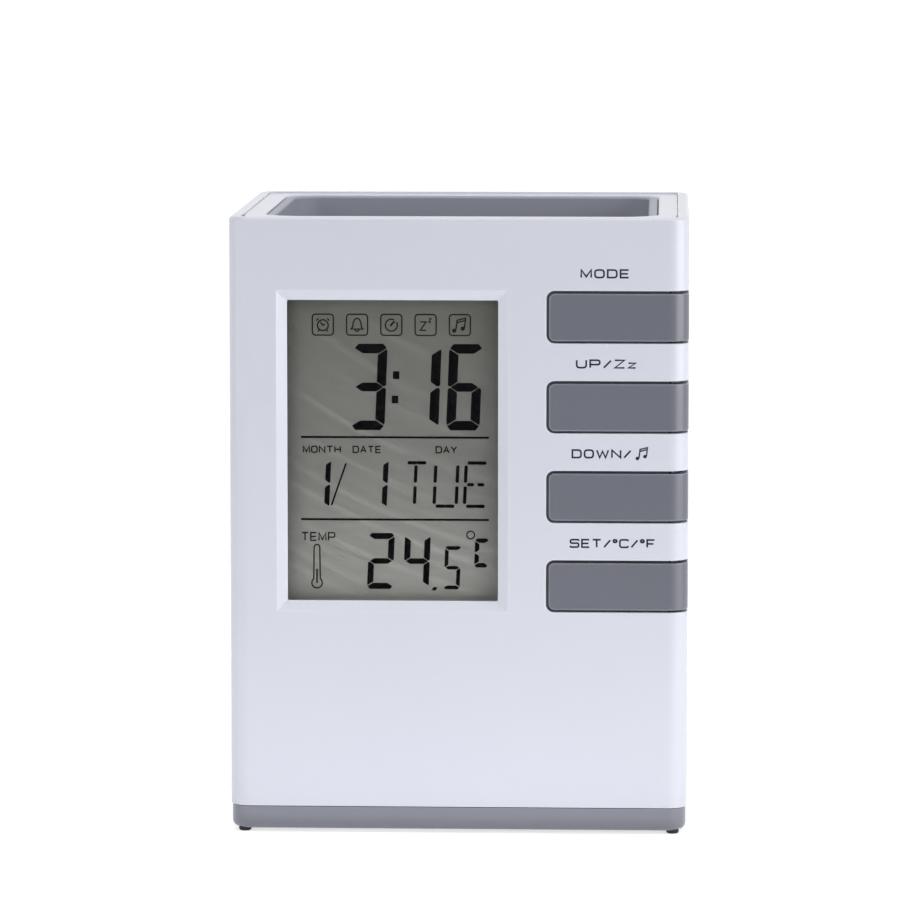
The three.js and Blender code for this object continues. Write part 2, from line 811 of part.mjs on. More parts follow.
function tube(path, radius, steps, sides) {
	const ring = new THREE.Shape();
	for (let i = 0; i < sides; i += 1) {
		const angle = (i / sides) * 2 * Math.PI;
		const corner = [radius * Math.cos(angle), radius * Math.sin(angle)];
		if (i === 0) {
			ring.moveTo(...corner);
		} else {
			ring.lineTo(...corner);
		}
	}
	return toSolid(new THREE.ExtrudeGeometry(ring, { steps, extrudePath: path }));
}

function spring(side, y) {
	return tube(new ConeCoil(side, y), springWire / 2, springTurns * turnSteps, springSides);
}

// Leads: along the lane beside the bay, then up behind the panel to the board's lower edge
const boardMiddle = (boardFront + boardBack) / 2;
const leadEndZ = boardBottom - fitGap;

function route(points) {
	return new THREE.CatmullRomCurve3(points.map((point) => new THREE.Vector3(...point)));
}

function batteryLead(cellPlace, shift) {
	const lane = (bayHalfX + bayWall + right - lipInset - lipThickness) / 2 + shift;
	const rise = (sounderX + sounderOuter + postX - postRadius) / 2 + shift;
	const start = bayHalfX + tabReach + fitGap;
	const startZ = tabZ + contactThickness / 2;
	const laneZ = (tabZ + plateTop) / 2;
	const bendY = (bayY - bayHalfY - bayWall + frontPostY + postRadius) / 2;
	return tube(route([
		[start, cellPlace, startZ],
		[start + leadRadius, cellPlace, startZ],
		[lane, cellPlace - contactSize / 2, laneZ + leadSpacing],
		[lane, bendY, laneZ],
		[rise + leadSpacing, frontPostY + postRadius + leadSpacing, laneZ],
		[rise, boardMiddle, postTop],
		[rise, boardMiddle, sounderZ],
		[rise, boardMiddle, leadEndZ],
	]), leadRadius, 2 * leadSteps, leadSides);
}

function sounderLead(shift) {
	const x = sounderX + shift;
	const start = sounderBack + elementThickness + fitGap;
	return tube(route([
		[x, start, sounderZ],
		[x, (start + boardMiddle) / 2, sounderZ + leadRadius],
		[x, boardMiddle, sounderZ + leadSpacing],
		[x, boardMiddle, leadEndZ],
	]), leadRadius, leadSteps, leadSides);
}

// Display: lens, two glasses with a bare ledge below, the strip that joins it to the board
function glassPlate(low, y0, y1) {
	const shape = roundedRectangle(
		borderX - glassHalf.x, borderX + glassHalf.x, low, borderZ + glassHalf.z, windowRadius);
	return drawnOut('y', shape, y0, y1);
}

function holder() {
	const stripHalfX = glassHalf.x - stripMargin + fitGap;
	const stripHalfZ = stripThickness / 2 + fitGap;
	const opening = { x: pocketHalf.x - holderRim, z: pocketHalf.z - holderRim };
	return cut(roundedPlate(holderHalf, panelBack, boardFront, windowRadius), [
		roundedPlate(pocketHalf, panelBack - overrun, glassBack, windowRadius),
		roundedPlate(opening, panelBack, boardFront + overrun, windowRadius),
		block(borderX - stripHalfX, borderX + stripHalfX, panelBack, boardFront + overrun,
			stripZ - stripHalfZ, stripZ + stripHalfZ),
	]);
}

function contactStrip() {
	const halfX = glassHalf.x - stripMargin;
	return block(borderX - halfX, borderX + halfX, glassMiddle, boardFront,
		stripZ - stripThickness / 2, stripZ + stripThickness / 2);
}

function circuitBoard() {
	const shape = roundedRectangle(boardLeft, boardRight, boardBottom, boardTop, windowRadius);
	const holes = boardPosts.map(([x, z]) => (
		rod('y', boardScrewRadius + fitGap, boardFront - overrun, boardBack + overrun, x, z)));
	return cut(drawnOut('y', shape, boardFront, boardBack), holes);
}

function resinDrop() {
	const shares = [[0, 0], [0.45, 0.1], [0.8, 0.4], [1, 1], [0, 1]];
	const profile = shares.map(([across, deep]) => [across * chipRadius, deep * chipHeight]);
	return turned('y', profile, boardBack + chipHeight, borderX, borderZ + chipRise);
}

function temperatureSensor() {
	const x = right - sensorInset;
	const z = boardBottom + sensorRise;
	const beadY = boardFront - 2 * sensorRadius;
	const bead = new THREE.SphereGeometry(sensorRadius, roundSteps, smallRoundSteps);
	bead.translate(x, beadY, z);
	const legs = [-1, 1].map((side) => {
		const legX = x + side * sensorRadius / 2;
		return rod('y', sensorLegRadius, beadY, boardFront, legX, z, smallRoundSteps);
	});
	return union([toSolid(bead), ...legs]);
}

// Keys: a cap cut from the body's own outline, with a flange behind the panel and a stem
function keyCap(index) {
	const band = keyBand(index);
	const low = band.low + keyGap;
	const high = band.high - keyGap;
	const keyLeft = right - keyLength + keyGap;
	const outlineShape = roundedRectangle(keyLeft, right + keyLength, low, high, keyCornerRadius);
	const cap = outside.intersect(drawnOut('y', outlineShape, front - overrun, keyBack))
		.subtract(bodyBlock(keyWall, bodyBottom - overrun, top + overrun));
	const reach = keyGap + keyFlangeReach;
	const flangeRight = right - Math.max(frontEdgeRadius, wall + fitGap);
	const flange = drawnOut('y', roundedRectangle(keyLeft - reach, flangeRight, low - reach,
		high + reach, keyCornerRadius), panelBack, panelBack + keyFlange);
	const core = drawnOut('y', roundedRectangle(keyLeft, flangeRight, low, high, keyCornerRadius),
		front + keyWall - weld, panelBack + keyFlange);
	const stem = rod(
		'y', stemRadius, panelBack + keyFlange - weld, stemEnd, switchX, band.centre);
	return union([cap, flange, core, stem]);
}

function switchHousing(index) {
	const z = keyBand(index).centre;
	const half = switchSize / 2;
	const housing = block(switchX - half, switchX + half, switchFront, boardFront, z - half, z + half);
	return housing.subtract(rod('y', plungerRadius + fitGap, switchFront - overrun,
		boardFront - switchFloor, switchX, z));
}

function plunger(index) {
	return rod('y', plungerRadius, stemEnd, plungerEnd, switchX, keyBand(index).centre);
}

// The assembly
addPiece('front_panel', frontPanel(), white);
addPiece('rear_shell', rearShell(), white);
addPiece('top_collar', collar(), white);
addPiece('pen_cup', penCup(), grey);
addPiece('base_tray', baseTray(), grey);
addPiece('battery_door', batteryDoor(), grey);

addPiece('display_lens', roundedPlate(lensHalf, lensFront, lensBack, windowRadius), clear);
addPiece('display_front_glass', glassPlate(borderZ - glassHalf.z, glassFront, glassMiddle), glass);
addPiece('display_rear_glass', glassPlate(ledgeTop, glassMiddle, glassBack), glass);
addPiece('display_holder', holder(), holderWhite);
addPiece('contact_strip', contactStrip(), stripPink);
addPiece('circuit_board', circuitBoard(), boardGreen);
addPiece('clock_chip', resinDrop(), resin);
const crystalZ = keyBand(0).low - (keyPitch - keyHeight) / 2;
addPiece('timing_crystal', rod('x', crystalRadius, right - crystalInset - crystalLength,
	right - crystalInset, boardFront - crystalRadius, crystalZ), steel);
addPiece('temperature_sensor', temperatureSensor(), black);

['mode', 'up', 'down', 'set'].forEach((name, index) => {
	addPiece(`key_${name}`, keyCap(index), keyGrey);
	addPiece(`switch_${name}`, switchHousing(index), black);
	addPiece(`plunger_${name}`, plunger(index), holderWhite);
});

addPiece('sounder_disc', rod('y', sounderRadius, panelBack + sounderShelf, sounderBack,
	sounderX, sounderZ, wideRoundSteps), brass);
addPiece('sounder_element', rod('y', elementRadius, sounderBack, sounderBack + elementThickness,
	sounderX, sounderZ, wideRoundSteps), ceramic);
addPiece('sounder_lead_red', sounderLead(-leadSpacing / 2), red);
addPiece('sounder_lead_black', sounderLead(leadSpacing / 2), black);

addPiece('cell_front', cell(1, cellPlaces[0]), cellJacket);
addPiece('cell_rear', cell(-1, cellPlaces[1]), cellJacket);
addPiece('contact_positive', tabbedPlate(cellPlaces[0]), nickel);
addPiece('contact_negative', tabbedPlate(cellPlaces[1]), nickel);
addPiece('contact_bridge', contactPlate(-1, ...cellPlaces), nickel);
addPiece('contact_spring_front', spring(-1, cellPlaces[0]), nickel);
addPiece('contact_spring_rear', spring(1, cellPlaces[1]), nickel);
addPiece('battery_lead_red', batteryLead(cellPlaces[0], -leadSpacing / 2), red);
addPiece('battery_lead_black', batteryLead(cellPlaces[1], leadSpacing / 2), black);

['front_left', 'rear_left', 'front_right', 'rear_right'].forEach((name, index) => {
	const [footX, footY] = footPlaces[index];
	addPiece(`foot_${name}`,
		rod('z', footRadius, 0, footHeight + footSocketDepth, footX, footY), rubber);
	const [screwX, screwY] = postPlaces[index];
	const profile = screwProfile(screwHeadRadius, screwHeadHeight, screwRadius, screwLength);
	addPiece(`base_screw_${name}`,
		turned('z', profile, footHeight + fitGap, screwX, screwY), steel);
});

['top_left', 'top_right', 'low_left', 'low_right'].forEach((name, index) => {
	const [x, z] = boardPosts[index];
	const profile = screwProfile(
		boardScrewHead, boardScrewHeadHeight, boardScrewRadius, boardScrewLength);
	addPiece(`board_screw_${name}`,
		turned('y', profile, boardBack + boardScrewHeadHeight, x, z), steel);
});

export default clock;
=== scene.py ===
# %% [markdown]
# # Pen holder clock
# The object is a desk clock and a pen pot in one housing. A white front panel and rear shell stand
# on a grey tray, a grey cup hangs inside them, and a display and four keys sit in the front.
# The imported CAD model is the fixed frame. It gives every place and size, so each finer piece
# made here goes where its CAD node says, and nothing has to be fitted by eye.

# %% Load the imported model
import json
from math import cos, pi, radians, sin, tau

import bmesh
import bpy
from mathutils import Matrix, Vector

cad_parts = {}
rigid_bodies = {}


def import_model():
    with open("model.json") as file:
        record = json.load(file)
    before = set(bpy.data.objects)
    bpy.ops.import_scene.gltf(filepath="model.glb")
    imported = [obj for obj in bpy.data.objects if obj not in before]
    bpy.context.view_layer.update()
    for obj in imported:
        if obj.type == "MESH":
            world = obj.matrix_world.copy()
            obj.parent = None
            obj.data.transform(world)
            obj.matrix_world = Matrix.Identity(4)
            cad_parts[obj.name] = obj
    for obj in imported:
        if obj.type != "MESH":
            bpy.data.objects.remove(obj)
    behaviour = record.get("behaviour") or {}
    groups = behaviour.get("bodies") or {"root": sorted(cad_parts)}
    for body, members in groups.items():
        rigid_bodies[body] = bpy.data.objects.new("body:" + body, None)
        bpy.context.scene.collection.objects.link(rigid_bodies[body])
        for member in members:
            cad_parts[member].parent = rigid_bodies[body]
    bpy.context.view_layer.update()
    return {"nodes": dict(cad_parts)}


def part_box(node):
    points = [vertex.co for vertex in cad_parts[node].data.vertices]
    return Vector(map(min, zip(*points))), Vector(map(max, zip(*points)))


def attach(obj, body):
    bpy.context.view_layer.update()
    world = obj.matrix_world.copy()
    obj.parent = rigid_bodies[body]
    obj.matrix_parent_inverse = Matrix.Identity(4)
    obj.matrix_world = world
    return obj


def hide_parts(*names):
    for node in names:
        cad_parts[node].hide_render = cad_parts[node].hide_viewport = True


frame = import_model()
mm = 0.001
print("nodes in the frame:", len(frame["nodes"]))

# %% [markdown]
# ## Camera
# The photograph looks at the front from a little above and a little to the right, through a long
# lens: the upright edges stay upright and only a thin slice of the rim shows. A short lens close
# up would spread the rim and slope the sides, so the camera stands almost a metre away.

# %% Camera
camera_place = Vector((36 * mm, -944.5 * mm, 168 * mm))
camera_target = Vector((-1.4 * mm, -37.5 * mm, 67.6 * mm))
camera_lens = 210.4

camera = bpy.data.objects.new("camera", bpy.data.cameras.new("camera"))
bpy.context.scene.collection.objects.link(camera)
camera.location = camera_place
camera.rotation_euler = (camera_target - camera_place).to_track_quat("-Z", "Y").to_euler()
camera.data.lens = camera_lens
camera.data.sensor_width = 36
camera.data.clip_end = 50
bpy.context.scene.camera = camera
print("camera to panel:", round((camera_target - camera_place).length, 3), "m")

# %% [markdown]
# ## Room and light
# The photograph is a cut-out on white. The floor and the world are white only where the camera,
# a reflection or a clear piece looks at them, so that this white adds no light of its own. A
# broad panel over the front lights the whole face and the window border's lower slope. A strip
# of bright table just ahead of the foot makes the foot of the panel its palest part. A strong
# panel at the right and a weaker one at the left draw the bright lines down the rounded edges.

# %% Node helpers for the white
def math_node(tree, operation, first, second=None, third=None):
    """A Math node whose inputs are sockets or plain numbers."""
    node = tree.nodes.new("ShaderNodeMath")
    node.operation = operation
    for index, value in enumerate((first, second, third)):
        if value is None:
            continue
        if isinstance(value, bpy.types.NodeSocket):
            tree.links.new(value, node.inputs[index])
        else:
            node.inputs[index].default_value = value
    return node.outputs[0]


def looked_at(tree):
    """1 where the camera, a reflection or a clear piece looks, 0 for all other light."""
    path = tree.nodes.new("ShaderNodeLightPath").outputs
    sight = math_node(tree, "MAXIMUM", path["Is Camera Ray"], path["Is Glossy Ray"])
    return math_node(tree, "MAXIMUM", sight, path["Is Transmission Ray"])


# %% World
scene = bpy.context.scene
scene.view_settings.view_transform = "Standard"
world_light = 0.1

world = bpy.data.worlds.new("white_room")
scene.world = world
world.use_nodes = True
tree = world.node_tree
tree.nodes.clear()
mix = tree.nodes.new("ShaderNodeMixShader")
tree.links.new(looked_at(tree), mix.inputs["Fac"])
for index, (colour, strength) in enumerate((((0.96, 0.97, 1, 1), world_light),
                                            ((1, 1, 1, 1), 1))):
    background = tree.nodes.new("ShaderNodeBackground")
    background.inputs["Color"].default_value = colour
    background.inputs["Strength"].default_value = strength
    tree.links.new(background.outputs[0], mix.inputs[1 + index])
tree.links.new(mix.outputs[0], tree.nodes.new("ShaderNodeOutputWorld").inputs["Surface"])
print("world's own light:", world_light)

# %% Soft panels
object_middle = Vector((0, 0, 54 * mm))


def soft_panel(name, place, target, width, height, brightness):
    """A rectangular area light that faces a point. Its brightness is that of its face."""
    lamp = bpy.data.lights.new(name, "AREA")
    lamp.shape = "RECTANGLE"
    lamp.size = width
    lamp.size_y = height
    lamp.energy = brightness * pi * width * height
    panel = bpy.data.objects.new(name, lamp)
    panel.location = place
    panel.rotation_euler = (Vector(target) - Vector(place)).to_track_quat("-Z", "Y").to_euler()
    panel.visible_camera = False
    scene.collection.objects.link(panel)
    return panel


def round_object(degrees, distance, height):
    """A place so far from the object and so many degrees round from its front."""
    angle = radians(degrees)
    return (distance * sin(angle), -distance * cos(angle), height)


panel_height = 0.2
level_target = (0, 0, panel_height)
soft_panel("panel_right", round_object(66, 0.5, panel_height), level_target, 0.4, 0.36, 3.05)
soft_panel("panel_left", round_object(-45, 0.5, panel_height), level_target, 0.4, 0.36, 0.92)
soft_panel("left_strip", round_object(-72, 0.5, panel_height), level_target, 0.06, 0.36, 3)
soft_panel("panel_over_front", (0, -0.22, 0.85), object_middle, 0.8, 0.4, 2.37)
soft_panel("panel_over_rim", (0, 0.1, 0.9), object_middle, 0.8, 0.6, 0.8)
soft_panel("bright_table", (0, -0.1, 0.002), (0, -0.101, 1), 0.6, 0.12, 0.5)

# %% [markdown]
# ## Small mesh helpers
# Almost every moulded piece starts as a flat face with rounded corners that is drawn out into a
# plate. Bmesh can do all of it: four vertices, a bevel on each corner, an extrude. Cutting one
# closed shape out of another is left to the Boolean modifier, whose result is kept as the mesh.

# %% Plates with rounded corners
def at(axis, across, up, along):
    """A point, from two places across an axis and one along it."""
    return {"x": (along, across, up), "y": (across, along, up), "z": (across, up, along)}[axis]


def outward(bm):
    """Turns every face outwards and hands the mesh on."""
    bmesh.ops.recalc_face_normals(bm, faces=bm.faces)
    return bm


def draw_out(bm, faces, move):
    """Extrudes faces, moves the new end and returns its vertices."""
    made = bmesh.ops.extrude_face_region(bm, geom=list(faces))
    ends = [g for g in made["geom"] if isinstance(g, bmesh.types.BMVert)]
    bmesh.ops.translate(bm, verts=ends, vec=move)
    return ends


def round_corner(bm, vert, radius, steps):
    """Rounds one corner of a flat face."""
    bmesh.ops.bevel(bm, geom=[vert], offset=radius, offset_type="OFFSET", segments=steps,
                    profile=0.5, affect="VERTICES", material=-1)


def plan(bm, axis, low, high, level, radii=(0, 0, 0, 0), steps=6):
    """A flat face across an axis. The radii go round from the low corner."""
    corners = ((low[0], low[1]), (high[0], low[1]), (high[0], high[1]), (low[0], high[1]))
    verts = [bm.verts.new(at(axis, across, up, level)) for across, up in corners]
    bm.faces.new(verts)
    for vert, radius in zip(verts, radii):
        if radius > 0:
            round_corner(bm, vert, radius, steps)
    return bm.faces[:]


def slab(axis, low, high, start, end, radii=(0, 0, 0, 0), steps=6):
    """A plate with rounded corners that runs along an axis from start to end."""
    bm = bmesh.new()
    faces = plan(bm, axis, low, high, start, radii, steps)
    draw_out(bm, faces, at(axis, 0, 0, end - start))
    return outward(bm)


axis_turns = {"x": Matrix.Rotation(pi / 2, 4, "Y"), "y": Matrix.Rotation(pi / 2, 4, "X"),
              "z": Matrix.Identity(4)}


def rod(axis, radius, start, end, across, up, steps=32):
    """A round bar along an axis."""
    bm = bmesh.new()
    bmesh.ops.create_cone(bm, cap_ends=True, segments=steps, radius1=radius, radius2=radius,
                          depth=abs(end - start), matrix=axis_turns[axis])
    bmesh.ops.translate(bm, verts=bm.verts, vec=at(axis, across, up, (start + end) / 2))
    return outward(bm)


# %% Rounding edges
def round_edges(bm, radius, steps, chosen):
    """Rounds the edges that the test picks."""
    edges = [edge for edge in bm.edges if chosen(edge)]
    bmesh.ops.bevel(bm, geom=edges, offset=radius, offset_type="OFFSET", segments=steps,
                    profile=0.5, affect="EDGES", material=-1)
    return len(edges)


def lies_at(edge, **places):
    """Whether both ends of an edge have the given x, y or z."""
    near = 0.02 * mm
    return all(abs(getattr(vert.co, axis) - value) < near
               for vert in edge.verts for axis, value in places.items())


# %% Objects and Booleans
def as_object(name, bm):
    """Makes an object at the world origin of a bmesh."""
    mesh = bpy.data.meshes.new(name)
    bm.to_mesh(mesh)
    bm.free()
    made = bpy.data.objects.new(name, mesh)
    scene.collection.objects.link(made)
    return made


def taken_shape(piece):
    """Takes the mesh of a helper object and removes the object."""
    bm = bmesh.new()
    bm.from_mesh(piece.data)
    bpy.data.objects.remove(piece)
    return bm


def keep_modified(piece):
    """Keeps what the modifiers make as the piece's own mesh."""
    graph = bpy.context.evaluated_depsgraph_get()
    result = bpy.data.meshes.new_from_object(piece.evaluated_get(graph))
    old = piece.data
    piece.modifiers.clear()
    piece.data = result
    bpy.data.meshes.remove(old)
    result.name = piece.name


def carve(piece, shapes, operation="DIFFERENCE"):
    """Cuts closed shapes out of a piece, or joins them to it."""
    helpers = [as_object("shape", bm) for bm in shapes]
    for helper in helpers:
        step = piece.modifiers.new("carve", "BOOLEAN")
        step.operation = operation
        step.solver = "EXACT"
        step.object = helper
    keep_modified(piece)
    for helper in helpers:
        bpy.data.objects.remove(helper)
    return piece


def reshape(piece, change):
    """Opens a piece's mesh as a bmesh, changes it and writes it back."""
    bm = bmesh.new()
    bm.from_mesh(piece.data)
    change(bm)
    outward(bm).to_mesh(piece.data)
    bm.free()


# %% [markdown]
# ## From a mesh to a finished piece
# A real moulding has no sharp edge, only small radii that catch the light. A Bevel modifier with
# an angle limit gives each piece that radius at the end, once its openings are cut. Weighted
# normals then let the large faces set the shading, so that a flat panel stays flat. The finish
# and the CAD body that carries the piece are set in the same place.

# %% Finishing a piece
sharp_from = radians(24)
rounded_from = radians(32)


def finished(piece, material, slot_name, body, *nodes_replaced, soften=0.15 * mm, steps=3):
    """Gives a piece its small edge radius, finish and body. Its record slot name is not used."""
    piece.data.shade_smooth()
    piece.data.set_sharp_from_angle(angle=sharp_from)
    piece.data.materials.clear()
    piece.data.materials.append(material)
    if soften:
        edge = piece.modifiers.new("edge_radius", "BEVEL")
        edge.width = soften
        edge.segments = steps
        edge.limit_method = "ANGLE"
        edge.angle_limit = rounded_from
        edge.harden_normals = False
        edge.use_clamp_overlap = True
        edge.miter_outer = "MITER_ARC"
    flat = piece.modifiers.new("flat_faces", "WEIGHTED_NORMAL")
    flat.weight = 100
    flat.keep_sharp = True
    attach(piece, body)
    if nodes_replaced:
        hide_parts(*nodes_replaced)
    print(piece.name, "faces:", len(piece.data.polygons))
    return piece


# %% [markdown]
# ## Effects that several finishes share
# Moulded plastic is never quite even: the tool leaves a fine grain, handling leaves faint
# patches of shine, and a little dust settles on what faces up. The edges are painted paler,
# partly as wear and partly as a painted highlight where a rounded edge would catch the light.
# Each effect is one node group with named inputs, so that every finish sets its own scale and
# amount. An edge is found by comparing the face's normal with one that is rounded over a small
# radius.

# %% Groups and noise
def new_group(name, inputs, outputs):
    """An empty shader group with float inputs and the given outputs."""
    group = bpy.data.node_groups.new(name, "ShaderNodeTree")
    for label, value in inputs.items():
        socket = group.interface.new_socket(label, in_out="INPUT", socket_type="NodeSocketFloat")
        socket.default_value = value
    for label, kind in outputs.items():
        group.interface.new_socket(label, in_out="OUTPUT", socket_type=kind)
    start = group.nodes.new("NodeGroupInput")
    end = group.nodes.new("NodeGroupOutput")
    return group, start, end


def noise(tree, scale, detail=2, roughness=0.5, vector=None):
    """A Noise texture on Object coordinates."""
    node = tree.nodes.new("ShaderNodeTexNoise")
    node.inputs["Detail"].default_value = detail
    node.inputs["Roughness"].default_value = roughness
    if isinstance(scale, bpy.types.NodeSocket):
        tree.links.new(scale, node.inputs["Scale"])
    else:
        node.inputs["Scale"].default_value = scale
    if vector is None:
        vector = tree.nodes.new("ShaderNodeTexCoord").outputs["Object"]
    tree.links.new(vector, node.inputs["Vector"])
    return node.outputs["Fac"]


# %% Mould grain
grain_group, start, end = new_group(
    "mould_grain",
    {"Grain scale": 2600, "Patch scale": 28, "Grain depth": 0.5},
    {"Height": "NodeSocketFloat", "Patches": "NodeSocketFloat"},
)
fine = noise(grain_group, start.outputs["Grain scale"], detail=3, roughness=0.6)
broad = noise(grain_group, start.outputs["Patch scale"], detail=3, roughness=0.55)
height = math_node(grain_group, "MULTIPLY", fine, start.outputs["Grain depth"])
grain_group.links.new(height, end.inputs["Height"])
grain_group.links.new(broad, end.inputs["Patches"])

# %% Edge wear and painted highlight
wear_and_highlight_group, start, end = new_group(
    "edge_wear_and_highlight",
    {"Amount": 0.5, "Break-up scale": 90},
    {"Mask": "NodeSocketFloat"},
)
own_normal = wear_and_highlight_group.nodes.new("ShaderNodeNewGeometry").outputs["Normal"]
wear_and_highlight_reach = 0.45 * mm
# The edges this mask finds are painted paler: partly wear, partly a painted highlight along the
# edge.
rounded = wear_and_highlight_group.nodes.new("ShaderNodeBevel")
rounded.samples = 4
rounded.inputs["Radius"].default_value = wear_and_highlight_reach
agree = wear_and_highlight_group.nodes.new("ShaderNodeVectorMath")
agree.operation = "DOT_PRODUCT"
wear_and_highlight_group.links.new(rounded.outputs["Normal"], agree.inputs[0])
wear_and_highlight_group.links.new(own_normal, agree.inputs[1])
sharp = wear_and_highlight_group.nodes.new("ShaderNodeMapRange")
sharp.inputs["From Min"].default_value = 0.985
sharp.inputs["From Max"].default_value = 0.9
wear_and_highlight_group.links.new(agree.outputs["Value"], sharp.inputs["Value"])
patchy = noise(wear_and_highlight_group, start.outputs["Break-up scale"], detail=4, roughness=0.6)
broken = math_node(wear_and_highlight_group, "MULTIPLY", sharp.outputs["Result"], patchy)
mask = math_node(wear_and_highlight_group, "MULTIPLY", broken, start.outputs["Amount"])
wear_and_highlight_group.links.new(mask, end.inputs["Mask"])

# %% Settled dust
dust_group, start, end = new_group(
    "settled_dust",
    {"Amount": 0.1, "Speck scale": 420},
    {"Mask": "NodeSocketFloat"},
)
own_normal = dust_group.nodes.new("ShaderNodeNewGeometry").outputs["Normal"]
parts = dust_group.nodes.new("ShaderNodeSeparateXYZ")
dust_group.links.new(own_normal, parts.inputs["Vector"])
upward = math_node(dust_group, "MAXIMUM", parts.outputs["Z"], 0)
specks = noise(dust_group, start.outputs["Speck scale"], detail=5, roughness=0.7)
settled = math_node(dust_group, "MULTIPLY", upward, specks)
mask = math_node(dust_group, "MULTIPLY", settled, start.outputs["Amount"])
dust_group.links.new(mask, end.inputs["Mask"])
print("shared effects:", [g.name for g in bpy.data.node_groups])

# %% [markdown]
# ## Colours
# The colours are read off the photograph as 8-bit screen values, which is how a maker would note
# them down. Blender's sockets take linear light, so one helper turns them round.

# %% Screen colours to linear light
def linear(*screen_colour):
    """Linear colour of an 8-bit screen colour."""
    shares = [value / 255 for value in screen_colour]
    return tuple(share / 12.92 if share <= 0.04045 else ((share + 0.055) / 1.055) ** 2.4
                 for share in shares) + (1,)


def new_material(name, **values):
    """A material with a Principled shader, and that shader's plain values."""
    material = bpy.data.materials.new(name)
    material.use_nodes = True
    shader = material.node_tree.nodes["Principled BSDF"]
    for label, value in values.items():
        shader.inputs[label.replace("_", " ")].default_value = value
    return material, material.node_tree, shader


def colour_mix(tree, factor, first, second):
    """Mixes two colours, which are sockets or 8-bit screen colours."""
    node = tree.nodes.new("ShaderNodeMix")
    node.data_type = "RGBA"
    if isinstance(factor, bpy.types.NodeSocket):
        tree.links.new(factor, node.inputs["Factor"])
    else:
        node.inputs["Factor"].default_value = factor
    for label, value in (("A", first), ("B", second)):
        socket = [s for s in node.inputs if s.name == label and s.type == "RGBA"][0]
        if isinstance(value, bpy.types.NodeSocket):
            tree.links.new(value, socket)
        else:
            socket.default_value = linear(*value)
    return [s for s in node.outputs if s.type == "RGBA"][0]


def add_bump(tree, shader, height, distance):
    """Feeds a height to the shader's normal."""
    bump = tree.nodes.new("ShaderNodeBump")
    bump.inputs["Distance"].default_value = distance
    tree.links.new(height, bump.inputs["Height"])
    tree.links.new(bump.outputs["Normal"], shader.inputs["Normal"])


def uneven_value(tree, shader, label, grain, spread, least):
    """Lets one of the shader's values vary with the grain's broad patches."""
    value = math_node(tree, "MULTIPLY_ADD", grain.outputs["Patches"], spread, least)
    tree.links.new(value, shader.inputs[label])


def patched(tree, grain, first, second):
    """A colour that drifts between two with the grain's broad patches."""
    return colour_mix(tree, grain.outputs["Patches"], first, second)


def dress(tree, shader, grain, colour, spread, least, depth):
    """Sets the colour, a roughness that varies in patches, and the bump of the grain."""
    tree.links.new(colour, shader.inputs["Base Color"])
    uneven_value(tree, shader, "Roughness", grain, spread, least)
    add_bump(tree, shader, grain.outputs["Height"], depth)


def add_group(tree, group, **values):
    """Places a shared effect in a material with its own values."""
    node = tree.nodes.new("ShaderNodeGroup")
    node.node_tree = group
    for label, value in values.items():
        node.inputs[label.replace("_", " ")].default_value = value
    return node


def grained(name, grain_scale, patch_scale, grain_depth, **values):
    """A material with its mould grain in place: its tree, shader and grain come with it."""
    material, tree, shader = new_material(name, **values)
    return material, tree, shader, add_group(
        tree, grain_group, Grain_scale=grain_scale, Patch_scale=patch_scale,
        Grain_depth=grain_depth)


def object_place(tree):
    """The x, y and z sockets of the Object coordinate."""
    place = tree.nodes.new("ShaderNodeSeparateXYZ")
    tree.links.new(tree.nodes.new("ShaderNodeTexCoord").outputs["Object"], place.inputs["Vector"])
    return place.outputs


# %% [markdown]
# ## Moulded plastic
# Every case part is one kind of finish: a satin plastic with fine grain, slightly uneven shine,
# edges painted paler, partly as wear and partly as a painted highlight, and a trace of dust on
# top. One function makes them all, and each part passes its own colour and numbers, as a moulder
# would change the pigment.

# %% Satin plastic
def satin_plastic(name, colour, shade, worn_and_highlight_tint, roughness, grain_depth, dust, wear_and_highlight=0.6, coat=0.8,
                  shine=0.5):
    """Moulded plastic: a colour, its darker shade in patches, and an edge tint, part wear and part
    painted highlight.
    """
    material, tree, shader = new_material(name, IOR=1.5, Coat_Weight=coat, Coat_Roughness=0.14,
                                          Specular_IOR_Level=shine)
    grain = add_group(tree, grain_group, Grain_depth=grain_depth)
    worn_and_highlit_edges = add_group(tree, wear_and_highlight_group, Amount=wear_and_highlight)
    dusty = add_group(tree, dust_group, Amount=dust)
    body_colour = patched(tree, grain, shade, colour)
    # The edges mix towards the pale tint: partly wear, partly a painted highlight.
    edged = colour_mix(tree, worn_and_highlit_edges.outputs["Mask"], body_colour, worn_and_highlight_tint)
    dusted = colour_mix(tree, dusty.outputs["Mask"], edged, (214, 212, 206))
    tree.links.new(dusted, shader.inputs["Base Color"])
    uneven = math_node(tree, "MULTIPLY_ADD", grain.outputs["Patches"], 0.12, roughness - 0.06)
    polished = math_node(tree, "MULTIPLY_ADD", worn_and_highlit_edges.outputs["Mask"], -0.12, uneven)
    tree.links.new(polished, shader.inputs["Roughness"])
    add_bump(tree, shader, grain.outputs["Height"], 0.012 * mm)
    return material


# The near-white edge tint and the high edge amount paint a highlight along the white shell's edges
# and slot rims.
white_plastic = satin_plastic(
    "white_shell_plastic", (226, 229, 240), (222, 225, 237), (246, 247, 252),
    roughness=0.34, grain_depth=0.5, dust=0.06, wear_and_highlight=1.2, coat=0.4)
cup_plastic = satin_plastic(
    "grey_cup_plastic", (180, 182, 194), (175, 177, 189), (186, 188, 199),
    roughness=0.5, grain_depth=0.7, dust=0.04, coat=0, shine=0.2)
tray_plastic = satin_plastic(
    "grey_tray_plastic", (130, 132, 145), (126, 128, 141), (156, 158, 170),
    roughness=0.38, grain_depth=0.6, dust=0.05, coat=0.6)
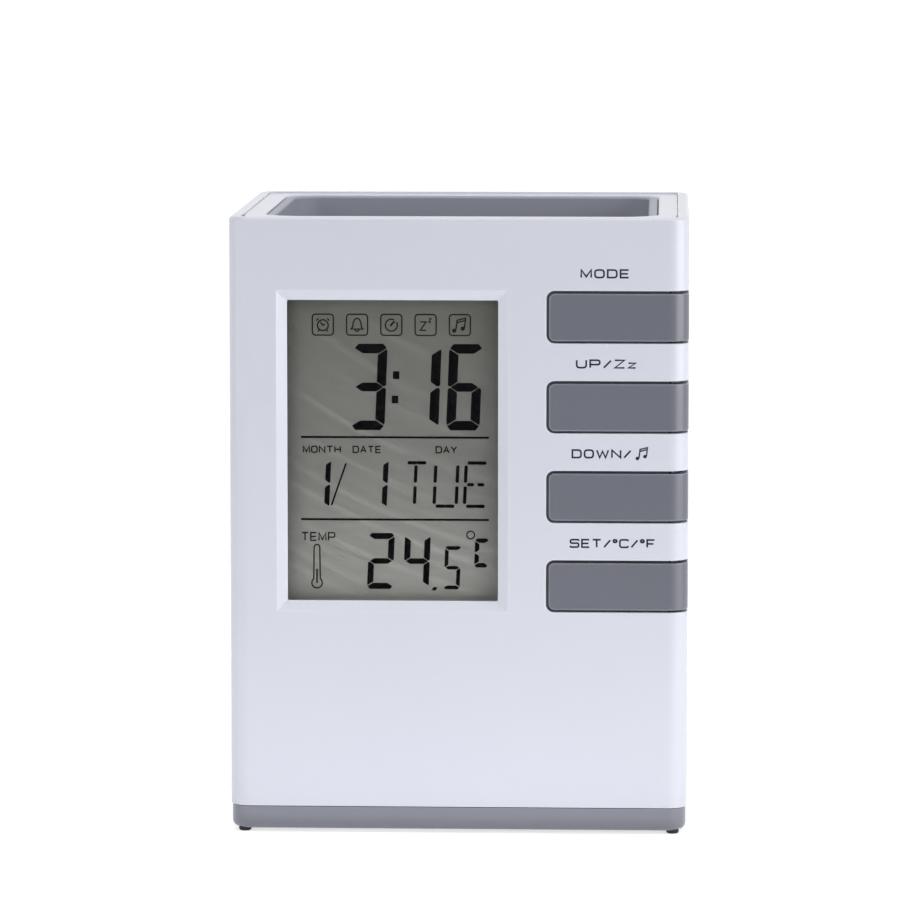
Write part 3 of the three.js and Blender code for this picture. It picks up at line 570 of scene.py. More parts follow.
# The key's edge tint, far paler than its grey, is mostly a painted highlight along the rims.
key_plastic = satin_plastic(
    "grey_key_plastic", (76, 79, 94), (73, 76, 91), (160, 163, 176),
    roughness=0.4, grain_depth=0.6, dust=0.04, wear_and_highlight=1.3, coat=0.3, shine=1)
print("materials so far:", len(bpy.data.materials))

# %% [markdown]
# ## The two white shells
# The white housing is split into a front panel with short side returns and a deep rear shell.
# Both are the same wall, so one closed ring is drawn out from the plan, its top edge is rounded,
# and a plane cuts each shell from a ring of its own, with a fine groove between them.

# %% Body sizes from the frame
panel_low, panel_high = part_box("front_panel")
rear_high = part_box("rear_shell")[1]
tray_low, tray_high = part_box("base_tray")
lens_low, lens_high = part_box("display_lens")
print_depth = 0.03 * mm

left, right = panel_low.x, panel_high.x
front = panel_low.y + print_depth
rear = rear_high.y
top = panel_high.z
wall = 2 * mm
groove = 0.3 * mm
seam = panel_high.y + groove / 2
front_radius = 3.5 * mm
rear_radius = 3.5 * mm
rim_radius = 0.7 * mm
skirt_height = 4.05 * mm
skirt_top = tray_low.z + skirt_height
body_bottom = skirt_top + 0.15 * mm
base_corners = ("front_left", "front_right", "rear_left", "rear_right")
board_corners = ("top_left", "top_right", "low_left", "low_right")
print("body:", [round((b - a) / mm, 2)
                for a, b in ((left, right), (front, rear), (body_bottom, top))])


# %% The wall as a ring
def body_plan(bm, inset, level):
    """The body's outline seen from above, moved inwards."""
    radii = [max(radius - inset, 0.4 * mm)
             for radius in (front_radius, front_radius, rear_radius, rear_radius)]
    low = (left + inset, front + inset)
    high = (right - inset, rear - inset)
    return plan(bm, "z", low, high, level, radii, steps=14)


def body_block(inset, low, high):
    """A solid block with the body's outline."""
    bm = bmesh.new()
    draw_out(bm, body_plan(bm, inset, low), (0, 0, high - low))
    return outward(bm)


def faces_out(edge):
    """Whether a top edge belongs to the outer wall."""
    centre = (edge.verts[0].co + edge.verts[1].co) / 2
    return any(abs(face.normal.z) < 0.5 and face.normal.dot(Vector((centre.x, centre.y, 0))) > 0
               for face in edge.link_faces)


def body_wall():
    """The closed wall round the body, with its rounded top edge."""
    bm = bmesh.new()
    faces = body_plan(bm, 0, body_bottom)
    bmesh.ops.inset_region(bm, faces=faces, thickness=wall, use_even_offset=True,
                           use_boundary=True)
    core = max(bm.faces, key=lambda face: face.calc_area())
    bmesh.ops.delete(bm, geom=[core], context="FACES")
    draw_out(bm, bm.faces[:], (0, 0, top - body_bottom))
    round_edges(outward(bm), rim_radius, 6, lambda edge: lies_at(edge, z=top) and faces_out(edge))
    return bm


def keep_side(bm, level, towards_front):
    """Cuts the wall at a plane across Y, keeps one side and closes the cut."""
    direction = 1 if towards_front else -1
    bmesh.ops.bisect_plane(bm, geom=bm.verts[:] + bm.edges[:] + bm.faces[:],
                           plane_co=(0, level, 0), plane_no=(0, direction, 0), clear_outer=True)
    openings = [edge for edge in bm.edges if edge.is_boundary]
    bmesh.ops.holes_fill(bm, edges=openings, sides=0)
    return outward(bm)


# %% Posts that the screws reach
def middle_of(node):
    """The middle of a CAD node's box."""
    low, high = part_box(node)
    return (low + high) / 2


post_x, front_post_y, _ = middle_of("base_screw_front_right")
rear_post_y = middle_of("base_screw_rear_right").y
post_low = panel_low.z
post_high = post_low + 11 * mm
post_radius = 3 * mm
web_half = 0.8 * mm
web_low = post_low + 4.8 * mm
pilot_radius = 1.6 * mm


def base_posts(y, wall_y):
    """Two posts for the screws through the tray, each tied to the wall by a web."""
    shapes = []
    for side in (-1, 1):
        shapes.append(rod("z", post_radius, post_low, post_high, side * post_x, y))
        shapes.append(slab("z", (side * post_x - web_half, min(y, wall_y)),
                           (side * post_x + web_half, max(y, wall_y)), web_low, post_high))
    return shapes


def pilot_holes(y):
    """The screw holes in the posts."""
    return [rod("z", pilot_radius, post_low - mm, post_high - 2 * mm, side * post_x, y, steps=20)
            for side in (-1, 1)]


# %% [markdown]
# ## Openings in the front panel
# The display window has a sloped border that leads down to the lens, and each key has a slot
# that runs round the right edge into the side. The border is a frustum: a rectangle drawn
# inwards while it shrinks. Its size is the lens plus the slope's width on each side.

# %% The window with its sloped border
slope_width = 1.8 * mm
slope_depth = 1.3 * mm
lens_overlap = 1.6 * mm
window_low = Vector((lens_low.x + lens_overlap, 0, lens_low.z + lens_overlap))
window_high = Vector((lens_high.x - lens_overlap, 0, lens_high.z - lens_overlap))
window_middle = (window_low + window_high) / 2
window_radius = 0.5 * mm


def window_shape():
    """The opening: a frustum from ahead of the panel, then straight through it."""
    lead = 1 * mm
    spread = slope_width * (1 + lead / slope_depth)
    low = (window_low.x - spread, window_low.z - spread)
    high = (window_high.x + spread, window_high.z + spread)
    bm = bmesh.new()
    faces = plan(bm, "y", low, high, front - lead, (0.3 * mm,) * 4, steps=4)
    ends = draw_out(bm, faces, (0, lead + slope_depth, 0))
    shrink = Vector(((window_high.x - window_low.x) / (high[0] - low[0]), 1,
                     (window_high.z - window_low.z) / (high[1] - low[1])))
    bmesh.ops.scale(bm, vec=shrink, verts=ends, space=Matrix.Translation(-window_middle))
    tip = [face for face in bm.faces if all(vert in ends for vert in face.verts)]
    draw_out(bm, tip, (0, wall, 0))
    bmesh.ops.delete(bm, geom=[f for f in tip if f.is_valid], context="FACES")
    return outward(bm)


def lens_seat():
    """The shallow seat behind the window that holds the lens."""
    spare = 0.3 * mm
    low = (lens_low.x - spare, lens_low.z - spare)
    high = (lens_high.x + spare, lens_high.z + spare)
    return slab("y", low, high, lens_low.y, front + wall + mm, (window_radius,) * 4)


# %% The four key slots
key_names = ("mode", "up", "down", "set")
key_gap = 0.35 * mm
upper_gap = 0.44 * mm
key_travel = 0.6 * mm
key_wall = 1.8 * mm
key_flange = 0.8 * mm
flange_reach = 1.2 * mm
key_radius = 1 * mm


def key_band(name):
    """The face of a key: its left end, lowest and highest, and the end of its side leg."""
    low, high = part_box("key_" + name)
    reach = key_gap + flange_reach
    return {"left": low.x + reach, "low": low.z + reach, "high": high.z - reach, "back": high.y}


def slot_shapes(name):
    """The opening for one key: a block through the front and one that runs back in the side."""
    band = key_band(name)
    low, high = band["low"] - key_gap, band["high"] + upper_gap
    back = band["back"] + key_travel + key_gap
    radius = key_radius + key_gap
    meeting = right - front_radius - mm
    return [slab("y", (band["left"] - upper_gap, low), (meeting, high), front - mm, back,
                 (radius, 0, 0, radius)),
            slab("x", (front - mm, low), (back, high), meeting, right + mm,
                 (0, radius, radius, 0))]


def on_skin(place):
    """Whether a place is on the body's outer face: front, right or the round edge between."""
    near = 0.03 * mm
    across = place.x - (right - front_radius)
    along = place.y - (front + front_radius)
    if across < 0:
        return abs(place.y - front) < near
    if along > 0:
        return abs(place.x - right) < near
    return abs(Vector((across, along)).length - front_radius) < near


def borders_skin(edge):
    """Whether an edge parts the outer face from a face that turns inwards."""
    return len(edge.link_faces) == 2 and sum(
        on_skin(face.calc_center_median()) for face in edge.link_faces) == 1


def rims_slot(edge):
    """Whether an edge is on the rim of a key slot."""
    middle = (edge.verts[0].co + edge.verts[1].co) / 2
    return borders_skin(edge) and any(
        middle.x > band["left"] - mm and middle.y < band["back"] + 2 * mm
        and band["low"] - mm < middle.z < band["high"] + mm for band in key_bands)


slot_rounding = 0.22 * mm
key_bands = [key_band(name) for name in key_names]
print("key faces:", [round((band["high"] - band["low"]) / mm, 2) for band in key_bands])

# %% Front panel
board_post_radius = 2.3 * mm
board_pilot_radius = 1.2 * mm
board_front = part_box("circuit_board")[0].y
panel_back = front + wall
board_posts = [middle_of("board_screw_" + corner) for corner in board_corners]

front_panel = as_object("front_panel_shell", keep_side(body_wall(), seam - groove / 2, True))
carve(front_panel, [rod("y", board_post_radius, panel_back - 0.5 * mm, board_front, post.x, post.z)
                    for post in board_posts] + base_posts(front_post_y, panel_back), "UNION")
slots = [shape for name in key_names for shape in slot_shapes(name)]
carve(front_panel, [window_shape(), lens_seat()] + slots + pilot_holes(front_post_y)
      + [rod("y", board_pilot_radius, panel_back, board_front + mm, post.x, post.z, steps=20)
         for post in board_posts])
reshape(front_panel, lambda bm: print(
    "slot rim edges:", round_edges(bm, slot_rounding, 4, rims_slot)))
finished(front_panel, white_plastic, "white_shell", "housing", "front_panel", soften=0.18 * mm)

# %% Rear shell
rear_shell = as_object("rear_shell_wall", keep_side(body_wall(), seam + groove / 2, False))
tongue_reach = 1.8 * mm
tongue_thickness = 1.2 * mm
tongue_top = top - 4.5 * mm
lip_inset = wall + groove
tongues = []
for side in (-1, 1):
    outer = side * (right - lip_inset)
    inner = outer - side * tongue_thickness
    root = side * (right - wall + 0.5 * mm)
    for reached, start in ((outer, seam - tongue_reach), (root, seam + groove / 2)):
        tongues.append(slab("z", (min(inner, reached), start),
                            (max(inner, reached), seam + tongue_reach), web_low, tongue_top))
carve(rear_shell, base_posts(rear_post_y, rear - wall) + tongues, "UNION")
carve(rear_shell, pilot_holes(rear_post_y))
finished(rear_shell, white_plastic, "white_shell", "housing", "rear_shell", soften=0.15 * mm)

# %% [markdown]
# ## Collar and pen cup
# A white collar lies inside the wall, a hair lower than its top. The grey cup hangs under it by
# a flange and comes up through it with a rounded rim, so the mouth that a pen slides over is
# grey. The cup is a bowl with drafted walls and a rounded floor, so that it leaves its mould.
# Behind the front panel's returns the collar closes tight against the wall, as one moulding does.

# %% The mouth
collar_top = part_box("top_collar")[1].z
cup_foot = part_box("pen_cup")[0].z
collar_height = 2.2 * mm
collar_bottom = collar_top - collar_height
rim_width = 7.2 * mm
front_rim_width = 10 * mm
mouth_low = (left + rim_width, panel_low.y + front_rim_width)
mouth_high = (right - rim_width, rear - rim_width)
mouth_radius = 5 * mm
cup_wall = 1.6 * mm
cup_rim = collar_top - 0.2 * mm
cup_gap = 0.12 * mm
tight_inset = wall + 0.05 * mm


def mouth_block(inset, low, high):
    """A block with the mouth's outline, moved inwards."""
    return slab("z", (mouth_low[0] + inset, mouth_low[1] + inset),
                (mouth_high[0] - inset, mouth_high[1] - inset), low, high,
                (mouth_radius - inset,) * 4, steps=10)


def round_mouth(bm, level, radius):
    """Rounds the inner edge of the ring at one level."""
    spare = cup_wall + 0.2 * mm
    def on_mouth(edge):
        return lies_at(edge, z=level) and all(
            mouth_low[0] - spare < vert.co.x < mouth_high[0] + spare
            and mouth_low[1] - spare < vert.co.y < mouth_high[1] + spare
            for vert in edge.verts)
    return round_edges(bm, radius, 5, on_mouth)


collar = as_object("mouth_collar", body_block(tight_inset, collar_bottom, collar_top))
edge_cut = as_object("edge_cut", body_block(wall, collar_bottom - mm, collar_top + mm))
carve(edge_cut, [
    body_block(lip_inset, collar_bottom - 1.5 * mm, collar_top + 1.5 * mm),
    slab("z", (left, seam), (right, rear), collar_bottom - 2 * mm, collar_top + 2 * mm)])
carve(collar, [taken_shape(edge_cut),
               mouth_block(-cup_wall - cup_gap, collar_bottom - mm, collar_top + mm)])
reshape(collar, lambda bm: round_mouth(bm, collar_top, 0.5 * mm))
finished(collar, white_plastic, "white_shell", "housing", "top_collar", soften=0.1 * mm)

# %% The cup
cup_draft = 0.8 * mm
floor_radius = 3 * mm
flange_bottom = collar_bottom - 1.5 * mm


def bowl(inset, low, high):
    """A drafted block with a rounded foot: its walls lean in by the draft."""
    bm = mouth_block(inset, low, high)
    foot = [vert for vert in bm.verts if abs(vert.co.z - low) < 0.01 * mm]
    half = Vector(((mouth_high[0] - mouth_low[0]) / 2 - inset,
                   (mouth_high[1] - mouth_low[1]) / 2 - inset))
    centre = Vector(((mouth_low[0] + mouth_high[0]) / 2, (mouth_low[1] + mouth_high[1]) / 2, 0))
    shrink = ((half.x - cup_draft) / half.x, (half.y - cup_draft) / half.y, 1)
    bmesh.ops.scale(bm, vec=shrink, verts=foot, space=Matrix.Translation(-centre))
    round_edges(bm, floor_radius, 8, lambda edge: lies_at(edge, z=low))
    return bm


cup = as_object("pen_cup_liner", bowl(-cup_wall, cup_foot, cup_rim))
carve(cup, [body_block(lip_inset, flange_bottom, collar_bottom)], "UNION")
carve(cup, [bowl(0, cup_foot + cup_wall, cup_rim + mm)])
reshape(cup, lambda bm: round_edges(bm, 0.5 * mm, 4, lambda edge: lies_at(edge, z=cup_rim)))
finished(cup, cup_plastic, "grey_shell", "housing", "pen_cup", soften=0.1 * mm)

# %% [markdown]
# ## Keys
# Each key is a cap that wraps round the vertical edge of the housing, so its face is an L in
# plan with the same radius as the body. A flange behind the panel stops it from falling out,
# and a stem reaches its switch. The plan is six corners, rounded and drawn up.

# %% One key
stem_radius = 2 * mm
overlap = 0.4 * mm


def key_piece(name):
    """The cap with its side leg, flange and stem."""
    band = key_band(name)
    inner_x = right - key_wall
    inner_y = front + key_wall
    bm = bmesh.new()
    corners = ((band["left"], front), (right, front), (right, band["back"]),
               (inner_x, band["back"]), (inner_x, inner_y), (band["left"], inner_y))
    verts = [bm.verts.new((x, y, band["low"])) for x, y in corners]
    bm.faces.new(verts)
    round_corner(bm, verts[1], front_radius, 14)
    round_corner(bm, verts[4], front_radius - key_wall, 6)
    draw_out(bm, bm.faces[:], (0, 0, band["high"] - band["low"]))
    outward(bm)
    for level in (band["low"], band["high"]):
        round_edges(bm, key_radius, 6, lambda edge: (
            lies_at(edge, x=band["left"], z=level) or lies_at(edge, y=band["back"], z=level)))
    round_edges(bm, slot_rounding, 4, borders_skin)
    cap = as_object("key_cap_" + name, bm)
    back = panel_low.y + wall
    flange_right = right - front_radius
    reach = key_gap + flange_reach
    plunger = middle_of("plunger_" + name)
    core = slab("y", (band["left"] + overlap, band["low"] + overlap),
                (flange_right, band["high"] - overlap), inner_y - 0.5 * mm, back + key_flange)
    flange = slab("y", (band["left"] - reach, band["low"] - reach),
                  (flange_right, band["high"] + reach), back, back + key_flange, (key_radius,) * 4)
    stem = rod("y", stem_radius, back + key_flange - overlap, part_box("plunger_" + name)[0].y,
               plunger.x, plunger.z)
    carve(cap, [core, flange, stem], "UNION")
    finished(cap, key_plastic, "key_grey", "key_" + name, "key_" + name, soften=0.1 * mm)


for name in key_names:
    key_piece(name)

# %% [markdown]
# ## Base tray
# The tray is the grey skirt under the white body. Its lower edge is well rounded, and its
# underside holds the battery bay, four deep screw holes and sockets for the feet. It is the
# body's outline moved in a little, hollowed, and then bored from below.

# %% The tray
base_inset = 0.2 * mm
base_radius = 1.3 * mm
screw_well_radius = 2.8 * mm
stud_radius = 1.4 * mm
skirt_wall = 2.2 * mm
plate_thickness = 2.4 * mm
plate_top = tray_low.z + plate_thickness
lip_top = plate_top + 4.5 * mm
lip_thickness = 1.2 * mm
hinge_radius = 1.2 * mm
pin_radius = 0.6 * mm
pin_socket_radius = 0.9 * mm
thumb_notch_radius = 5 * mm
thumb_notch_depth = 1.2 * mm
door_low, door_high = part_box("battery_door")
cell_spare = 0.3 * mm
bay_half_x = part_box("contact_positive")[0].x + 0.4 * mm
bay_wall = 1.2 * mm
bay_low = (-bay_half_x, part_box("cell_front")[0].y - cell_spare)
bay_high = (bay_half_x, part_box("cell_rear")[1].y + cell_spare)


def bay_block(spare, low, high):
    """The space round the cells."""
    return slab("z", (bay_low[0] - spare, bay_low[1] - spare),
                (bay_high[0] + spare, bay_high[1] + spare), low, high)


tray = as_object("base_tray_moulding", body_block(base_inset, tray_low.z, skirt_top))
reshape(tray, lambda bm: round_edges(bm, base_radius, 6, lambda edge: lies_at(edge, z=tray_low.z)))
carve(tray, [body_block(base_inset + skirt_wall, plate_top, skirt_top + mm)])
lip = as_object("lip", body_block(lip_inset, plate_top - 0.3 * mm, lip_top))
carve(lip, [body_block(lip_inset + lip_thickness, plate_top - mm, lip_top + mm)])
carve(tray, [taken_shape(lip), bay_block(bay_wall, plate_top - 0.3 * mm, tray_high.z)], "UNION")

hinge_y = door_low.y + hinge_radius
hinge_z = tray_low.z + hinge_radius
bores = [bay_block(0, tray_low.z - mm, tray_high.z - bay_wall),
         rod("x", pin_socket_radius, door_low.x - groove, door_high.x + groove, hinge_y, hinge_z,
             steps=20),
         rod("z", thumb_notch_radius, tray_low.z - mm, tray_low.z + thumb_notch_depth,
             0, bay_high[1], steps=48)]
for corner in base_corners:
    screw, stud = middle_of("base_screw_" + corner), middle_of("foot_" + corner)
    head_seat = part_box("base_screw_" + corner)[0].z + 1.1 * mm
    stud_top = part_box("foot_" + corner)[1].z
    bores.append(rod("z", screw_well_radius, tray_low.z - mm, head_seat, screw.x, screw.y))
    bores.append(rod("z", pilot_radius, tray_low.z - mm, plate_top + mm, screw.x, screw.y,
                     steps=20))
    bores.append(rod("z", stud_radius, tray_low.z - mm, stud_top, stud.x, stud.y))
carve(tray, bores)
finished(tray, tray_plastic, "grey_shell", "housing", "base_tray", soften=0.15 * mm)

# %% [markdown]
# ## Battery door
# The door is a thin plate that tilts on two pins about its round front edge. A tongue between
# two slits springs under the tray's edge and holds it shut, and shallow grooves give a thumb
# some grip. The slits and grooves are cut from the plate, as a mould core would leave them.

# %% The door
door_plate = 1.5 * mm
door_half_x = bay_half_x - key_gap
door_edge = door_high.y
door_inside = tray_low.z + door_plate
latch_half = 4.5 * mm
latch_length = 6 * mm
slit_width = 0.8 * mm
rib_width = 1.2 * mm
rib_spacing = 15 * mm
grip_grooves = 6
grip_pitch = 1.2 * mm
grip_half = 7 * mm
grip_width = 0.6 * mm
grip_depth = 0.4 * mm

door = as_object("battery_door_plate", slab(
    "z", (-door_half_x, hinge_y), (door_half_x, door_edge), tray_low.z, door_inside,
    (0, 0, 0.8 * mm, 0.8 * mm)))
ribs = [slab("z", (x - rib_width / 2, hinge_y + 1.2 * mm),
             (x + rib_width / 2, door_edge - latch_length - rib_width),
             door_inside - 0.5 * mm, door_high.z) for x in (-rib_spacing, 0, rib_spacing)]
carve(door, [rod("x", hinge_radius, -door_half_x, door_half_x, hinge_y, hinge_z),
             rod("x", pin_radius, door_low.x, door_high.x, hinge_y, hinge_z, steps=20)] + ribs,
      "UNION")
slits = [slab("z", (min(a, b), door_edge - latch_length), (max(a, b), door_edge + mm),
              tray_low.z - mm, door_high.z + mm)
         for a, b in ((latch_half, latch_half + slit_width),
                      (-latch_half, -latch_half - slit_width))]
groove_places = [door_edge - latch_length - 1.4 * mm - row * grip_pitch
                 for row in range(grip_grooves)]
grooves = [slab("z", (-grip_half, y), (grip_half, y + grip_width), tray_low.z - mm,
                tray_low.z + grip_depth, (grip_width / 2,) * 4, steps=3) for y in groove_places]


def part_faces(bm):
    """Parts the faces along the middle of each groove, so that no face gets a hole in it."""
    for y in groove_places:
        bmesh.ops.bisect_plane(bm, geom=bm.verts[:] + bm.edges[:] + bm.faces[:],
                               plane_co=(0, y + grip_width / 2, 0), plane_no=(0, 1, 0))


reshape(door, part_faces)
carve(door, slits + grooves)
finished(door, tray_plastic, "grey_shell", "battery_door", "battery_door", soften=0.12 * mm)

# %% [markdown]
# ## Feet and screws
# The feet are rubber studs pushed into sockets. The screws are turned parts: a profile spun
# about its axis gives the pan head, the thread's ridges and the point, and a cross is cut into
# the head for the driver. Spinning keeps every ring of the profile round and the mesh light.

# %% Turned pieces
def turned(profile, axis, across, up, start, steps=32):
    """Spins a profile of (radius, height) pairs about an axis. Height grows from the start."""
    bm = bmesh.new()
    verts = [bm.verts.new((radius, 0, height)) for radius, height in profile]
    edges = [bm.edges.new(pair) for pair in zip(verts, verts[1:])]
    bmesh.ops.spin(bm, geom=verts + edges, cent=(0, 0, 0), axis=(0, 0, 1), angle=tau,
                   steps=steps, use_merge=True)
    bmesh.ops.remove_doubles(bm, verts=bm.verts, dist=0.002 * mm)
    bmesh.ops.transform(bm, matrix=axis_turns[axis], verts=bm.verts)
    bmesh.ops.translate(bm, verts=bm.verts, vec=at(axis, across, up, start))
    return outward(bm)


rubber, tree, shader, grain = grained("foot_rubber", 3200, 28, 0.9, IOR=1.45,
                                      Specular_IOR_Level=0.3)
dusty = add_group(tree, dust_group, Amount=0.2)
black = patched(tree, grain, (56, 56, 61), (68, 68, 74))
dusted = colour_mix(tree, dusty.outputs["Mask"], black, (120, 118, 112))
dress(tree, shader, grain, dusted, 0.2, 0.6, 0.02 * mm)

round_lip = 0.35 * mm
for corner in base_corners:
    low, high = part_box("foot_" + corner)
    middle = (low + high) / 2
    radius = (high.x - low.x) / 2
    profile = [(0, 0)] + [
        (radius - round_lip + round_lip * sin(step * pi / 10),
         round_lip - round_lip * cos(step * pi / 10)) for step in range(6)]
    profile += [(radius, high.z - low.z), (0, high.z - low.z)]
    stud = as_object("foot_stud_" + corner,
                     turned(profile, "z", middle.x, middle.y, low.z))
    finished(stud, rubber, "foot_rubber", "housing", "foot_" + corner, soften=0)

# %% Bare and plated metal
def metal(name, colour, shade, worn_and_highlight_tint, roughness, rolled=(1, 1, 1), patch_scale=120):
    """Metal with streaks along its rolling direction, paler worn edges and uneven shine."""
    material, tree, shader = new_material(name, Metallic=1)
    place = tree.nodes.new("ShaderNodeMapping")
    place.inputs["Scale"].default_value = rolled
    tree.links.new(tree.nodes.new("ShaderNodeTexCoord").outputs["Object"], place.inputs["Vector"])
    streaks = noise(tree, 1500, detail=3, roughness=0.6, vector=place.outputs["Vector"])
    grain = add_group(tree, grain_group, Grain_scale=1800, Patch_scale=patch_scale)
    worn_and_highlit_edges = add_group(tree, wear_and_highlight_group, Amount=0.5)
    tone = patched(tree, grain, shade, colour)
    streaked = colour_mix(tree, math_node(tree, "MULTIPLY", streaks, 0.35), tone, worn_and_highlight_tint)
    bright = colour_mix(tree, worn_and_highlit_edges.outputs["Mask"], streaked, worn_and_highlight_tint)
    tree.links.new(bright, shader.inputs["Base Color"])
    rough = math_node(tree, "MULTIPLY_ADD", grain.outputs["Patches"], 0.2, roughness - 0.1)
    tree.links.new(math_node(tree, "MULTIPLY_ADD", streaks, 0.12, rough),
                   shader.inputs["Roughness"])
    add_bump(tree, shader, streaks, 0.006 * mm)
    return material


steel = metal("screw_steel", (188, 188, 186), (150, 150, 148), (222, 222, 220), roughness=0.3)

# %% Screws
def screw_profile(head, head_height, shank, length, pitch):
    """A pan head, a shank with ridges for its thread, and a point."""
    profile = [(0, 0), (head - head_height * 0.7, 0),
               (head - head_height * 0.2, head_height * 0.25), (head, head_height * 0.7),
               (head, head_height), (shank, head_height)]
    turns = int((length - shank) / pitch)
    for turn in range(turns):
        base = head_height + turn * pitch
        profile += [(shank, base + pitch * 0.3), (shank * 0.78, base + pitch * 0.55),
                    (shank * 0.78, base + pitch * 0.75)]
    return profile + [(shank * 0.7, head_height + length - shank), (0, head_height + length)]


def cross_recess(axis, size, depth, across, up, start):
    """Two bars that cross, to cut a driver's recess."""
    towards = 1 if axis == "z" else -1
    low, high = sorted((start - towards * mm, start + towards * depth))
    arm, half = size, size * 0.22
    return [slab(axis, (across - arm, up - half), (across + arm, up + half), low, high),
            slab(axis, (across - half, up - arm), (across + half, up + arm), low, high)]


def screw_piece(node, name, axis, head_height, shank, pitch, recess, soften, steps):
    """One screw in the box of its node, with its head at the low Z or the high Y end."""
    low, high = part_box(node)
    middle = (low + high) / 2
    head = (high.x - low.x) / 2
    if axis == "z":
        length, start, up = high.z - low.z, low.z, middle.y
    else:
        length, start, up = high.y - low.y, high.y, middle.z
    profile = screw_profile(head, head_height, shank, length - head_height, pitch)
    screw = as_object(name, turned(profile, axis, middle.x, up, start, steps=steps))
    carve(screw, cross_recess(axis, head * 0.55, recess, middle.x, up, start))
    finished(screw, steel, "steel", "housing", node, soften=soften, steps=2)


for corner in base_corners:
    screw_piece("base_screw_" + corner, "tray_screw_" + corner, "z", 1.1 * mm, 1.3 * mm, 1 * mm,
                0.7 * mm, 0.05 * mm, 32)
for corner in board_corners:
    screw_piece("board_screw_" + corner, "circuit_screw_" + corner, "y", 0.75 * mm, 0.9 * mm,
                0.7 * mm, 0.5 * mm, 0.04 * mm, 24)

# %% [markdown]
# ## Inside the housing
# These pieces are seen once the door or the housing is open. Their CAD meshes stay as they are
# and each gets the finish of its own trade: rolled brass and nickel, a rubber strip with fine
# conducting lines, a board with tracks under its green mask, silvered ceramic, drawn sleeves.

# %% Moulded pieces inside
def refinish(material, *names):
    """Gives carried-over CAD nodes a finish."""
    for name in names:
        frame["nodes"][name].data.materials[0] = material
    print(material.name, "on", len(names), "nodes")


natural = satin_plastic(
    "natural_plastic", (216, 212, 200), (208, 203, 190), (236, 234, 226),
    roughness=0.44, grain_depth=0.6, dust=0.06, coat=0.2)
black_moulding = satin_plastic(
    "black_moulding", (32, 32, 35), (25, 25, 28), (74, 74, 78),
    roughness=0.42, grain_depth=0.8, dust=0.08, coat=0.1)
resin = satin_plastic(
    "resin_drop", (19, 19, 21), (13, 13, 15), (36, 36, 40),
    roughness=0.2, grain_depth=0.2, dust=0.08, wear_and_highlight=0.2, coat=1)
red_sleeve, black_sleeve = [
    satin_plastic(name, *colours, roughness=0.45, grain_depth=0.9, dust=0.08, coat=0.3)
    for name, colours in (
        ("red_sleeve", ((176, 34, 28), (158, 27, 23), (206, 84, 76))),
        ("black_sleeve", ((34, 34, 36), (27, 27, 29), (68, 68, 70))))]
refinish(natural, "display_holder", *("plunger_" + name for name in key_names))
refinish(black_moulding, "temperature_sensor", *("switch_" + name for name in key_names))
refinish(resin, "clock_chip")
refinish(red_sleeve, "battery_lead_red", "sounder_lead_red")
refinish(black_sleeve, "battery_lead_black", "sounder_lead_black")

# %% Nickel, brass and the crystal's can
nickel = metal("nickel_plate", (204, 199, 188), (176, 170, 158), (232, 229, 221),
               roughness=0.26, rolled=(1, 1, 0.08))
brass = metal("rolled_brass", (206, 172, 104), (178, 142, 80), (232, 206, 148),
              roughness=0.32, rolled=(0.06, 1, 1))
can = metal("drawn_can", (196, 197, 199), (170, 171, 174), (228, 229, 231),
            roughness=0.28, rolled=(0.05, 1, 1))
refinish(nickel, "contact_positive", "contact_negative", "contact_bridge",
         "contact_spring_front", "contact_spring_rear")
refinish(brass, "sounder_disc")
refinish(can, "timing_crystal")


# %% Broad faces across Y
def faces_front_or_back(tree):
    """1 on the faces across Y, 0 on the edges."""
    normal = tree.nodes.new("ShaderNodeSeparateXYZ")
    tree.links.new(tree.nodes.new("ShaderNodeNewGeometry").outputs["Normal"],
                   normal.inputs["Vector"])
    across = math_node(tree, "ABSOLUTE", normal.outputs["Y"])
    return math_node(tree, "GREATER_THAN", across, 0.5)


# %% Contact strip
strip, tree, shader, grain = grained("contact_strip_rubber", 2200, 300, 0.6, IOR=1.42,
                                     Roughness=0.55)
line_pitch = 0.25 * mm
wave = math_node(tree, "SINE", math_node(tree, "MULTIPLY", object_place(tree)["X"],
                                         tau / line_pitch))
lines = math_node(tree, "MULTIPLY", math_node(tree, "GREATER_THAN", wave, 0),
                  faces_front_or_back(tree))
silicone = patched(tree, grain, (196, 168, 160), (212, 184, 174))
striped = colour_mix(tree, lines, silicone, (28, 27, 28))
tree.links.new(striped, shader.inputs["Base Color"])
add_bump(tree, shader, grain.outputs["Height"], 0.01 * mm)
refinish(strip, "contact_strip")

# %% Circuit board
board, tree, shader, grain = grained("circuit_board_mask", 2600, 90, 0.5, IOR=1.5,
                                     Coat_Weight=0.6, Coat_Roughness=0.18)
place = object_place(tree)
flat_place = tree.nodes.new("ShaderNodeCombineXYZ")
tree.links.new(place["X"], flat_place.inputs["X"])
tree.links.new(place["Z"], flat_place.inputs["Y"])
tracks = tree.nodes.new("ShaderNodeTexBrick")
tracks.inputs["Scale"].default_value = 150
tracks.inputs["Mortar Size"].default_value = 0.035
tracks.inputs["Mortar Smooth"].default_value = 0.3
tree.links.new(flat_place.outputs["Vector"], tracks.inputs["Vector"])
holes = tree.nodes.new("ShaderNodeTexVoronoi")
holes.inputs["Scale"].default_value = 170
tree.links.new(flat_place.outputs["Vector"], holes.inputs["Vector"])
pads = math_node(tree, "MULTIPLY", math_node(tree, "LESS_THAN", holes.outputs["Distance"], 0.13),
                 faces_front_or_back(tree))
mask_green = patched(tree, grain, (20, 74, 44), (26, 86, 50))
tracked = colour_mix(tree, tracks.outputs["Fac"], mask_green, (48, 118, 66))
padded = colour_mix(tree, pads, tracked, (198, 192, 176))
laminate = patched(tree, grain, (170, 160, 108), (186, 176, 124))
